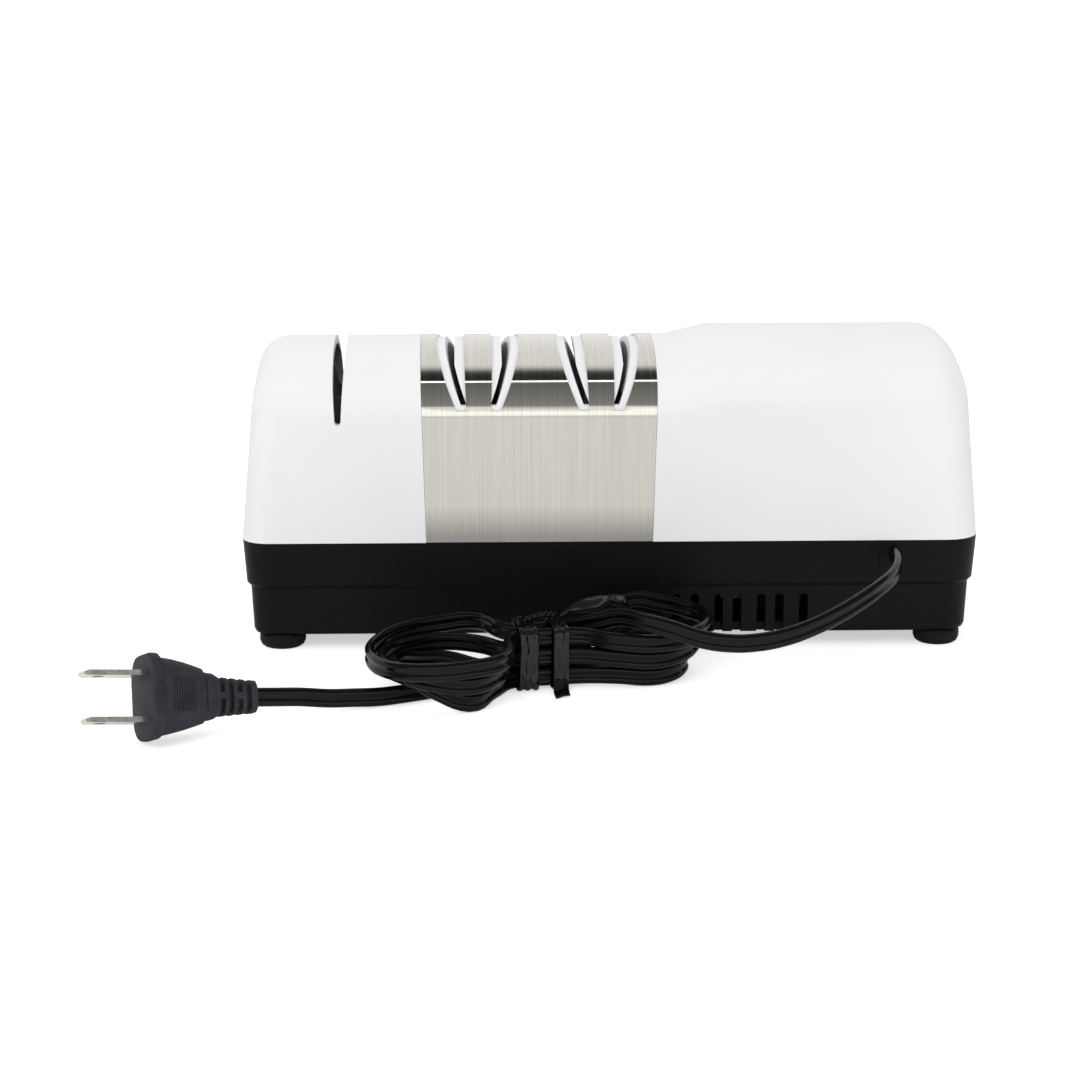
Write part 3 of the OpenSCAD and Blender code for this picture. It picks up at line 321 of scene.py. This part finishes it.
# rigid skins: merged copies of the CAD nodes, shaded by their real edges

flatWithin = 0.4  # degrees between triangles that are one face
skins = {  # node: the angle above which an edge is a real one, in degrees
    "top_cover": 24, "steel_wrap": 24, "base_tray": 20, "cord_bushing": 30,
    "foot_rear_left": 30, "foot_rear_right": 30, "foot_front_left": 30, "foot_front_right": 30,
    "switch_body": 30, "switch_rocker": 24, "cleanout_door": 30,
}


def mergedCopy(node):
    bm = bmesh.new()
    bm.from_mesh(frame["nodes"][node].data)
    bmesh.ops.remove_doubles(bm, verts=bm.verts, dist=mergeWithin["cad"])
    return bm


def makeSkin(node, angle):
    bm = mergedCopy(node)
    bmesh.ops.dissolve_degenerate(bm, edges=bm.edges, dist=mergeWithin["cad"])
    bmesh.ops.dissolve_limit(bm, angle_limit=math.radians(flatWithin), verts=bm.verts, edges=bm.edges,
                             delimit={"NORMAL"})
    shadeByAngle(bm, angle)
    skin = placeMesh(bm, node + "_skin", slotOf[node], bodyOf[node])
    weighted = skin.modifiers.new("evenNormals", "WEIGHTED_NORMAL")
    weighted.keep_sharp = True
    weighted.weight = 90  # above 50, the large faces lead
    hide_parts(node)


for node, angle in skins.items():
    makeSkin(node, angle)
print("skins made:", len(skins))


# disc springs: each one cut into two halves at its middle

def makeHalfSpring(stage, side, sign):
    node = stage + "_spring"
    low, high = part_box(node)
    middle = (low + high) / 2
    bm = mergedCopy(node)
    bmesh.ops.bisect_plane(bm, geom=bm.verts[:] + bm.edges[:] + bm.faces[:], plane_co=middle,
                           plane_no=(sign, 0, 0), clear_inner=True)
    bmesh.ops.holes_fill(bm, edges=bm.edges)
    shadeByAngle(bm, sharpAbove["spring"])
    half = placeMesh(bm, node + "_" + side, "spring_steel", body=None)
    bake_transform(half)
    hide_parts(node)


for stage in ("coarse", "fine"):
    makeHalfSpring(stage, "left", -1)
    makeHalfSpring(stage, "right", 1)
print("springs made")


# cord: flat two-core flex, lead, tied hank and tail in one length

hank = {  # millimetres and degrees; the pairs are for the left and the right loops
    "at": (-21, -78), "turn": 10,  # its waist on the table, and its turn from the housing
    "column": 3.4, "low": 3.5, "layer": 5.9,  # the waist: half its breadth, the lowest run, the step up
    "flat": 8, "part": 8, "levelFrom": 17,  # a run: straight to here, parted within this, level to here
    "turns": 3, "step": 3.45,  # and the step from strand to strand
    "half": (26, 30), "radius": (25, 19), "middle": (4, -5),  # the loops: start, outer radius, middle
    # heights at the start, tip and end of each loop, outermost first
    "heights": (((14.2, 12, 14.6), (9.6, 10.2, 8.7), (5, 9, 2.8)),
                ((14.6, 16, 17.5), (8.7, 11, 9.5), (2.8, 4, 2.8))),
    "runShare": 0.25,  # a run takes this much on each side of a whole number, a loop the rest
    "tipFrom": 0.45, "tipTo": 0.68,  # between these parts of a loop it keeps the height of its tip
    "perHalfTurn": 12,  # points of the route
}


def smoothStep(s):
    c = min(1, max(0, s))
    return c * c * (3 - 2 * c)


def mix(a, b, s):
    return a + (b - a) * s


def onTable(u, v, z, h=hank):
    # u runs along the hank and v across it towards the camera, both from its waist
    c, s = math.cos(math.radians(h["turn"])), math.sin(math.radians(h["turn"]))
    return Vector((h["at"][0] + u * c + v * s, h["at"][1] + u * s - v * c, z)) / 1000


def fan(u, half, h=hank):
    # 0 at the waist to 1 at the loops, eased at both ends
    return (1 - math.cos(math.pi * min(1, max(0, (abs(u) - h["flat"]) / (half - h["flat"]))))) / 2


def loopRadius(right, k, h=hank):
    return h["radius"][right] - h["step"] * k


def runPoint(n, f, h=hank):
    # a run through the waist: odd runs lead left at the rear, even runs lead right at the front
    odd = n % 2
    side = -1 if odd else 1
    last = h["turns"] - 1
    right = side * f > 0 or n == 2 * h["turns"] + 1
    half = h["half"][right]
    u = side * half * f / h["runShare"]
    k = (n - 2) // 2 if right else (n - 1) // 2
    inner = h["middle"][right] + side * loopRadius(right, last)
    start = 0 if right and odd else side * h["column"]
    parted = smoothStep((abs(u) - h["flat"]) / h["part"])
    if right and odd:
        steps = 0 if k == last else 1 + (last - 1 - k) * parted
    else:
        steps = (last - k) * parted
    # runs that lean keep their step square to themselves
    slope = (inner - start) * (fan(abs(u) + 0.5, half) - fan(abs(u) - 0.5, half))
    v = mix(start, inner, fan(u, half)) + side * h["step"] * steps * math.hypot(1, slope)
    endZ = h["heights"][right][k][(2 if odd else 0) if right else (0 if odd else 2)]
    level = h["low"] + h["layer"] * (last - min(last, (n - 1) // 2))
    return u, v, mix(level, endZ, smoothStep((abs(u) - h["levelFrom"]) / (half - h["levelFrom"])))


def loopPoint(n, j, h=hank):
    # a half circle between two runs; its height goes over the tip
    right = n % 2 == 0
    k = (n - 1) // 2
    a = (j - n - h["runShare"]) * 2
    r = loopRadius(right, k)
    side = 1 if right else -1
    z = h["heights"][right][k]
    rising = smoothStep(a / h["tipFrom"])
    leaving = smoothStep((a - h["tipTo"]) / (1 - h["tipTo"]))
    height = mix(z[0], z[1], rising) if a < 0.5 else mix(z[1], z[2], leaving)
    return (side * (h["half"][right] + r * math.sin(math.pi * a)),
            h["middle"][right] + side * r * math.cos(math.pi * a), height)


def hankPoint(j, h=hank):
    # whole numbers are at the waist, halves at the tip of a loop
    n = math.floor(j + 0.5)
    return onTable(*(runPoint(n, j - n) if abs(j - n) <= h["runShare"] else loopPoint(math.floor(j), j)))


cord = {  # width and thickness in metres; points in millimetres, those In and Out on the hank's own axes
    "width": 0.0054, "thick": 0.0027,
    "lead": [(83.8, -43, 29.4), (83.8, -49, 29.4), (83.2, -56, 29), (80.8, -64, 28), (75.8, -72.2, 26.6),
             (69.5, -79.2, 24.6), (62.5, -84.8, 22.2), (54.5, -89.6, 19.8), (46.5, -93, 18),
             (38.5, -94.8, 17), (30.5, -95.4, 17), (22.5, -95, 18.2), (14.5, -92.7, 20.4),
             (7, -88.5, 21.5)],
    "leadIn": [(20, 8.1, 21.2), (15, 3.4, 18.9), (10, -1.2, 16.8), (6, -3.2, 15.4)],
    "tailOut": [(-9, 0, 3.3), (-14, 0.7, 2.9), (-20, 2.4, 2.8), (-27, 4.9, 2.8), (-34, 7.2, 2.8),
                (-43, 10, 2.8), (-50, 11.8, 2.9)],
    "tail": [(-75, -100.6, 3.4), (-82, -103.6, 4.2), (-90, -107.4, 5.8), (-96, -111.3, 7),
             (-102, -115.2, 8.2)],
}


def flexProfile(c):
    # two cores side by side, standing on edge; each is round up to the groove between them, in degrees
    r = c["thick"] / 2
    gap = c["width"] / 2 - r
    grooveFrom, grooveTo, turn = -50, 230, 20
    angles = [math.radians(a) for a in range(grooveFrom, grooveTo + 1, turn)]
    upper = [(r * math.cos(a), gap + r * math.sin(a)) for a in angles]
    return upper + [(-x, -y) for x, y in upper]


def sweep(points, profile, name, steps):
    # a profile carried along a smooth line, with its Y axis kept upright
    outline = bpy.data.curves.new(name + "Outline", "CURVE")
    outline.dimensions = "2D"
    ring = outline.splines.new("POLY")
    ring.points.add(len(profile) - 1)
    for p, (x, y) in zip(ring.points, profile):
        p.co = (x, y, 0, 1)
    ring.use_cyclic_u = True
    outlineObj = bpy.data.objects.new(name + "Outline", outline)
    line = bpy.data.curves.new(name + "Line", "CURVE")
    line.dimensions = "3D"
    line.twist_mode = "Z_UP"
    line.resolution_u = steps
    line.bevel_mode = "OBJECT"
    line.bevel_object = outlineObj
    line.use_fill_caps = True
    spline = line.splines.new("BEZIER")
    spline.bezier_points.add(len(points) - 1)
    for knot, place in zip(spline.bezier_points, points):
        knot.co = place
        knot.handle_left_type = knot.handle_right_type = "AUTO"
    lineObj = bpy.data.objects.new(name + "Line", line)
    bpy.context.scene.collection.objects.link(lineObj)
    bpy.context.scene.collection.objects.link(outlineObj)
    bpy.context.view_layer.update()
    mesh = bpy.data.meshes.new_from_object(lineObj.evaluated_get(bpy.context.evaluated_depsgraph_get()))
    bm = bmesh.new()
    bm.from_mesh(mesh)
    for o in (lineObj, outlineObj):
        bpy.data.objects.remove(o)
    bpy.data.meshes.remove(mesh)
    bmesh.ops.remove_doubles(bm, verts=bm.verts, dist=mergeWithin["sweep"])
    bmesh.ops.recalc_face_normals(bm, faces=bm.faces)
    shadeByAngle(bm, sharpAbove["sweep"])
    return bm


route = [Vector(p) / 1000 for p in cord["lead"]] + [onTable(*p) for p in cord["leadIn"]]
route += [hankPoint(1 + k / hank["perHalfTurn"]) for k in range(2 * hank["turns"] * hank["perHalfTurn"] + 1)]
route += [onTable(*p) for p in cord["tailOut"]] + [Vector(p) / 1000 for p in cord["tail"]]
flex = placeMesh(sweep(route, flexProfile(cord), "flexCord", 5), "flex_cord", "cord_jacket")
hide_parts("cord_lead", "cord_hank", "cord_tail")


# twist ties: plastic film over a wire, wrapped round the waist of the hank

ties = {  # millimetres unless said; u is along the hank, v across it
    "left": {"node": "cord_tie_left", "at": -5.9, "width": 5.3, "pleats": 2.5, "flare": 0.16},
    "right": {"node": "cord_tie_right", "at": 3.5, "width": 4.3, "pleats": 2, "flare": 0.04},
    "low": 0.5, "high": 18.5, "back": -6.25, "front": 6.95, "flareBelow": 4,
    "corner": 2.2, "cornerStep": 15,  # the bend round the bundle, and degrees for each of its rows
    "straight": 5, "longSide": 0.003,  # rows on a straight side, and what counts as one, in metres
    "perRow": 3, "across": 16,  # steps of the grid
    "film": 0.3, "crease": 0.4, "ragged": 0.0005,  # the last in metres
    "pleatPart": 0.6, "crumplePart": 0.7, "wander": 2.2,  # shares of the crease, and how pleats wander
    "wanderScale": 200, "crumpleScale": 380, "raggedScale": 900,  # of the noise, for each metre
}


def tieRows(t, s):
    # one row of the film for each step round the bundle: middle, breadth and way out
    rows = []
    breadth = onTable(t["width"], 0, 0) - onTable(0, 0, 0)
    middleV, middleZ = (s["back"] + s["front"]) / 2, (s["low"] + s["high"]) / 2
    reachV = (s["front"] - s["back"]) / 2 - s["corner"]
    reachZ = (s["high"] - s["low"]) / 2 - s["corner"]
    for first, sideV, sideZ in ((-90, 1, -1), (0, 1, 1), (90, -1, 1), (180, -1, -1)):
        for turn in range(first, first + 91, s["cornerStep"]):
            c, q = math.cos(math.radians(turn)), math.sin(math.radians(turn))
            v = middleV + sideV * reachV + s["corner"] * c
            z = middleZ + sideZ * reachZ + s["corner"] * q
            out = onTable(t["at"], v + c, z + q) - onTable(t["at"], v, z)
            low = max(0, 1 - z / s["flareBelow"]) * t["flare"]
            rows.append((onTable(t["at"], v, z), breadth * (1 + low), out.normalized()))
    rows.append(rows[0])
    spread = []
    for a, b in zip(rows, rows[1:]):
        # the straight sides get rows of their own
        count = s["straight"] if (a[0] - b[0]).length > s["longSide"] else 1
        spread += [tuple(p.lerp(q, k / count) for p, q in zip(a, b)) for k in range(count)]
    return spread + rows[:1]


def makeFilm(rows, name, pleats, s=ties, ragged=0.0):
    # a strip of creased film; pleats run along it, and its cut ends may be ragged
    bm = bmesh.new()
    bmesh.ops.create_grid(bm, x_segments=s["perRow"] * (len(rows) - 1), y_segments=s["across"], size=0.5)
    for vert in bm.verts:
        along = (vert.co.x + 0.5) * (len(rows) - 1)
        i = min(int(along), len(rows) - 2)
        middle, breadth, out = (p.lerp(q, along - i) for p, q in zip(rows[i], rows[i + 1]))
        across = vert.co.y
        place = middle + breadth * across
        wander = noise.noise(middle * s["wanderScale"]) * s["wander"]
        height = math.cos(across * math.tau * pleats + wander) * s["pleatPart"]
        height += noise.noise(place * s["crumpleScale"]) * s["crumplePart"]
        end = abs(vert.co.x) > 0.499
        vert.co = place + out * height * s["crease"] / 1000
        if end and ragged:
            onward = (rows[-1][0] - rows[-2][0]).normalized()
            vert.co += onward * noise.noise(place * s["raggedScale"]) * ragged
    bmesh.ops.remove_doubles(bm, verts=bm.verts, dist=mergeWithin["film"])
    bmesh.ops.recalc_face_normals(bm, faces=bm.faces)
    for face in bm.faces:
        face.smooth = True
    piece = placeMesh(bm, name, "tie_film")
    wall = piece.modifiers.new("film", "SOLIDIFY")
    wall.thickness = s["film"] / 1000
    wall.offset = 0
    return piece


def looseStrip(stops, out, name, pleats):
    # stops are (u, v, z) of the middle and of the breadth, one pair for each row
    rows = []
    for middle, breadth in stops:
        start = onTable(*middle)
        rows.append((start, onTable(*(m + w for m, w in zip(middle, breadth))) - start,
                     (onTable(*(m + w for m, w in zip(middle, out))) - start).normalized()))
    return makeFilm(rows, name, pleats, ragged=ties["ragged"])


for side in ("left", "right"):
    band = makeFilm(tieRows(ties[side], ties), "tie_band_" + side, ties[side]["pleats"])
    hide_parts(ties[side]["node"])

looseEnds = {  # rows of middle and breadth, and the way that the film faces, on the hank's own axes
    "tongue": {"rows": [((3.3, 6.9, 3.4), (4.3, 0, 0)), ((3.2, 7.9, 2), (4.4, -0.2, 0)),
                        ((2.9, 9.6, 1), (4.5, -0.7, 0)), ((2.7, 11.8, 0.6), (4.5, -1, 0)),
                        ((2.5, 14.2, 0.5), (4.5, -1.2, 0))], "out": (0, 0.4, 1), "pleats": 0.8},
    "flag": {"rows": [((5.2, -2.2, 19.8), (0, -0.5, 1)), ((7.5, -2.9, 20.8), (0, -0.6, 1.8)),
                      ((10.5, -4.2, 21.4), (0, -0.8, 3)), ((14, -6.2, 21.4), (0, -0.7, 4.4)),
                      ((18, -8, 21), (0, -0.4, 5.2)), ((22.5, -9.8, 20.4), (-0.3, -0.3, 5.4)),
                      ((27, -11.4, 19.6), (-0.7, -0.2, 5.4))], "out": (0.2, 1, 0.2), "pleats": 0.6},
}
tongue, flag = (looseStrip(end["rows"], end["out"], "tie_" + name, end["pleats"])
                for name, end in looseEnds.items())

wire = {  # its radius in metres, the rest in millimetres on the hank's own axes
    "radius": 0.00042, "apart": 0.46, "turns": 3.2, "arch": 0.7, "steps": 24, "sides": 8,
    "from": (-5.6, -1.5, 19.1), "to": (3.4, -2, 20.3),
    "curls": (((-3.4, 2.2, -0.8), (-3.6, 1.6, 0.6), (-2.6, 0.8, 1), (-1.2, 0.3, 0.5)),
              ((-2.2, 2.6, -0.4), (-2.4, 2.2, 0.8), (-1.6, 1.4, 1.4), (-0.6, 0.4, 0.6))),
}


def twistedWire(w, phase, curl):
    # one of the two wires between the ties, with its curled end first
    points = [(w["from"][0] + du, w["from"][1] + dv, w["from"][2] + dz) for du, dv, dz in curl]
    for k in range(w["steps"] + 1):
        t = k / w["steps"]
        turn = math.tau * w["turns"] * t + phase
        u, v, z = (mix(p, q, t) for p, q in zip(w["from"], w["to"]))
        points.append((u, v + w["apart"] * math.cos(turn),
                       z + w["apart"] * math.sin(turn) + w["arch"] * math.sin(math.pi * t)))
    angles = [math.tau * k / w["sides"] for k in range(w["sides"])]
    ring = [(w["radius"] * math.cos(a), w["radius"] * math.sin(a)) for a in angles]
    return sweep([onTable(*p) for p in points], ring, "tieWire", 3)


for k, curl in enumerate(wire["curls"]):
    placeMesh(twistedWire(wire, math.pi * k, curl), "tie_wire_" + str(k + 1), "tie_film")
print("ties made")


# plug: moulded two-blade plug

plug = {  # its cord end in metres, angles in degrees, sizes in millimetres with x from the cord end
    "at": Vector((-0.102, -0.1152, 0.0082)), "yaw": 28, "pitch": 8.5, "roll": 22,
    "corner": 0.3, "cornerSteps": 5,  # the corner is a share of the breadth
    "softEdge": 0.18, "softAbove": 40,
    "grooves": 4, "firstGroove": 2.2, "grooveStep": 2.7, "grooveWide": 1.5, "grooveWall": 0.05,
    "growth": 0.05,  # each groove is this share larger
    "bridge": (1.6, 6.5, 2), "collarBar": (1.9, 0.5, 8.6), "collarAt": (15.1, 4.7),
    "ribs": 9, "firstRib": 20.2, "ribStep": 0.8, "rib": (0.5, 0.5, 9),
    "gripHalf": 6.28, "gripSlope": 0.165, "gripLean": 9.4,
    # rings of (x, width, height): the start of the relief, then the collar, the grip and the flange
    "start": [(0, 5.6, 7.6), (0.4, 6.5, 8.9)],
    "grip": [(13, 8.4, 12), (13.4, 9, 12.6), (16.4, 9.6, 13.4), (16.7, 10.6, 14.6), (16.9, 11.2, 15.2),
             (19.5, 12.4, 16.8), (22.5, 13.4, 18.6), (26, 14.4, 20.2), (29.8, 15, 21.2), (30, 15.9, 22.8),
             (30.6, 16.6, 23.5), (32.2, 16.6, 23.5), (32.8, 16, 22.8), (33, 14.8, 21.6)],
}


def plugMatrix(p):
    turned = Matrix.Rotation(math.radians(180 + p["yaw"]), 4, "Z")
    tipped = Matrix.Rotation(math.radians(-p["pitch"]), 4, "Y")
    rolled = Matrix.Rotation(math.radians(p["roll"]), 4, "X")
    return Matrix.Translation(p["at"]) @ turned @ tipped @ rolled


def growBody(steps, corner, cornerSteps):
    # a rounded outline pushed along X, one ring for each (x, width, height) in millimetres
    bm = bmesh.new()
    bmesh.ops.create_grid(bm, x_segments=1, y_segments=1, size=0.5,
                          matrix=Matrix.Rotation(math.radians(-90), 4, "Y"))
    bmesh.ops.bevel(bm, geom=bm.verts[:], offset=corner, segments=cornerSteps, profile=0.5,
                    affect="VERTICES", material=-1)
    for v in bm.verts:
        v.co = Vector((steps[0][0], v.co.y * steps[0][1], v.co.z * steps[0][2])) / 1000
    end = bm.faces[:]
    before = steps[0]
    for step in steps[1:]:
        grown = bmesh.ops.extrude_face_region(bm, geom=end)["geom"]
        moved = [g for g in grown if isinstance(g, bmesh.types.BMVert)]
        end = [g for g in grown if isinstance(g, bmesh.types.BMFace)]
        for v in moved:
            v.co = Vector((step[0] / 1000, v.co.y * step[1] / before[1], v.co.z * step[2] / before[2]))
        before = step
    bmesh.ops.recalc_face_normals(bm, faces=bm.faces)
    return bm


def addBlock(bm, size, place, tilt=0.0):
    # a plain block in the plug's own axes, in millimetres
    placed = Matrix.Translation(Vector(place) / 1000) @ Matrix.Rotation(math.radians(tilt), 4, "Z")
    scaled = Matrix.Diagonal((size[0] / 1000, size[1] / 1000, size[2] / 1000, 1))
    bmesh.ops.create_cube(bm, size=1, matrix=placed @ scaled)


def makePlug(p):
    relief = list(p["start"])
    for i in range(p["grooves"]):
        # over the edge, down the wall, along the bottom and up again
        grow = 1 + p["growth"] * i
        start = p["firstGroove"] + p["grooveStep"] * i
        end, wall = start + p["grooveWide"], p["grooveWall"]
        for x, wide, tall in ((start, 6.6, 9.2), (start + wall, 4.2, 6.4),
                              (end - wall, 4.2, 6.4), (end, 6.7, 9.4)):
            relief.append((x, wide * grow, tall * grow))
    bm = growBody(relief + p["grip"], p["corner"], p["cornerSteps"])
    for i in range(1, p["grooves"], 2):
        # every other groove is bridged on the flat sides
        long, wide, tall = p["bridge"]
        middle = p["firstGroove"] + p["grooveWide"] / 2 + p["grooveStep"] * i
        addBlock(bm, (long, wide * (1 + p["growth"] * i), tall), (middle, 0, 0))
    for side in (-1, 1):
        # a collar bar, then the ribs of the finger patch, which lie along the grip's slope
        addBlock(bm, p["collarBar"], (p["collarAt"][0], side * p["collarAt"][1], 0))
        for k in range(p["ribs"]):
            along = p["ribStep"] * k
            surface = p["gripHalf"] + along * p["gripSlope"]
            addBlock(bm, p["rib"], (p["firstRib"] + along, side * surface, 0), side * p["gripLean"])
    shadeByAngle(bm, sharpAbove["plug"])
    bmesh.ops.transform(bm, matrix=plugMatrix(p), verts=bm.verts)
    piece = placeMesh(bm, "plug_moulding", "plug_vinyl")
    softEdges = piece.modifiers.new("softEdges", "BEVEL")
    softEdges.width = p["softEdge"] / 1000
    softEdges.segments = 2
    softEdges.limit_method = "ANGLE"
    softEdges.angle_limit = math.radians(p["softAbove"])
    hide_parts("plug_body")
    return piece


plugBody = makePlug(plug)
print("plug made")


# light, floor and sky

studio = {  # metres
    "sky": 0.8, "floor": "#F4F4F4", "floorRough": 0.9, "floorGlow": 0.55, "halfFloor": 6,
    "aim": Vector((0, 0, 0.05)),  # the middle of the housing
    # (degrees, brightness) of the sky that polished surfaces see, from the far side at 180 over the top
    # to the horizon on the camera's side at 0: a bright wall, a black gap, a thin light line, then dim
    # down to a bright stretch low in front
    "skyBands": ((180, 0.98), (131, 1.0), (128, 0.01), (111, 0.01), (109.5, 0.8), (107.5, 0.85),
                 (105.5, 0.16), (60, 0.24), (24, 0.34), (17, 1.6), (2, 1.6), (0, 0.9)),
}


def makeWorld(s):
    world = bpy.data.worlds.new("studioSky")
    bpy.context.scene.world = world
    world.use_nodes = True
    tree = world.node_tree
    tree.nodes.clear()
    path = addNode(tree, "ShaderNodeLightPath")
    where = addNode(tree, "ShaderNodeTexCoord")
    parts = addNode(tree, "ShaderNodeSeparateXYZ", links={"Vector": (where, "Generated")})
    lift = addNode(tree, "ShaderNodeMath", {}, {0: (parts, "Z"), 1: (parts, "Y")}, operation="ARCTAN2")
    turn = addNode(tree, "ShaderNodeMapRange", {"From Min": -math.pi, "From Max": math.pi},
                   {"Value": (lift, "Value")})
    skyStops = [((360 - degrees) / 360, grey(level)) for degrees, level in s["skyBands"]]
    seen = setRamp(addNode(tree, "ShaderNodeValToRGB", links={"Fac": (turn, "Result")}), skyStops)
    dim = addNode(tree, "ShaderNodeBackground", {"Color": grey(1), "Strength": s["sky"]})
    shine = addNode(tree, "ShaderNodeBackground", {"Strength": 1.0}, {"Color": (seen, "Color")})
    plain = addNode(tree, "ShaderNodeBackground", {"Color": grey(1), "Strength": 1.0})
    lit = addNode(tree, "ShaderNodeMixShader",
                  links={0: (path, "Is Glossy Ray"), 1: (dim, 0), 2: (shine, 0)})
    shown = addNode(tree, "ShaderNodeMixShader",
                    links={0: (path, "Is Camera Ray"), 1: (lit, 0), 2: (plain, 0)})
    addNode(tree, "ShaderNodeOutputWorld", links={"Surface": (shown, "Shader")})


makeWorld(studio)


def makeFloor(s):
    # the camera sees the floor near white, with a soft shadow left on it
    bm = bmesh.new()
    bmesh.ops.create_grid(bm, x_segments=1, y_segments=1, size=s["halfFloor"])
    mesh = bpy.data.meshes.new("studioFloor")
    bm.to_mesh(mesh)
    bm.free()
    floor = bpy.data.objects.new("studioFloor", mesh)
    bpy.context.scene.collection.objects.link(floor)
    mat, tree, shader = newMaterial("paleSweep", s["floor"], s["floorRough"])
    path = addNode(tree, "ShaderNodeLightPath")
    glow = addNode(tree, "ShaderNodeEmission", {"Color": grey(1), "Strength": s["floorGlow"]})
    add = addNode(tree, "ShaderNodeAddShader", links={0: (shader, 0), 1: (glow, 0)})
    both = addNode(tree, "ShaderNodeMixShader",
                   links={0: (path, "Is Camera Ray"), 1: (shader, 0), 2: (add, 0)})
    tree.links.new(both.outputs[0], tree.nodes["Material Output"].inputs["Surface"])
    mesh.materials.append(mat)


makeFloor(studio)


softboxes = {  # metres and watts; a box that isn't mirrored leaves no glint
    "backStrip": {"place": (-0.1, 0.43, 1.3), "size": (1.2, 0.13), "power": 1.7, "mirrored": True},
    "frontFill": {"place": (-0.3, -1.2, 0.9), "size": (1.2, 0.8), "power": 6.0, "mirrored": False},
}


def addSoftbox(name, box, aim):
    data = bpy.data.lights.new(name, "AREA")
    data.shape = "RECTANGLE"
    data.size, data.size_y = box["size"]
    data.energy = box["power"]
    lamp = bpy.data.objects.new(name, data)
    lamp.location = box["place"]
    lamp.visible_glossy = box["mirrored"]
    lamp.rotation_euler = (Vector(box["place"]) - aim).to_track_quat("Z", "Y").to_euler()
    bpy.context.scene.collection.objects.link(lamp)


for name, box in softboxes.items():
    addSoftbox(name, box, studio["aim"])
bpy.context.scene.view_settings.view_transform = "Standard"
print("stage made")

bpy.context.view_layer.update()
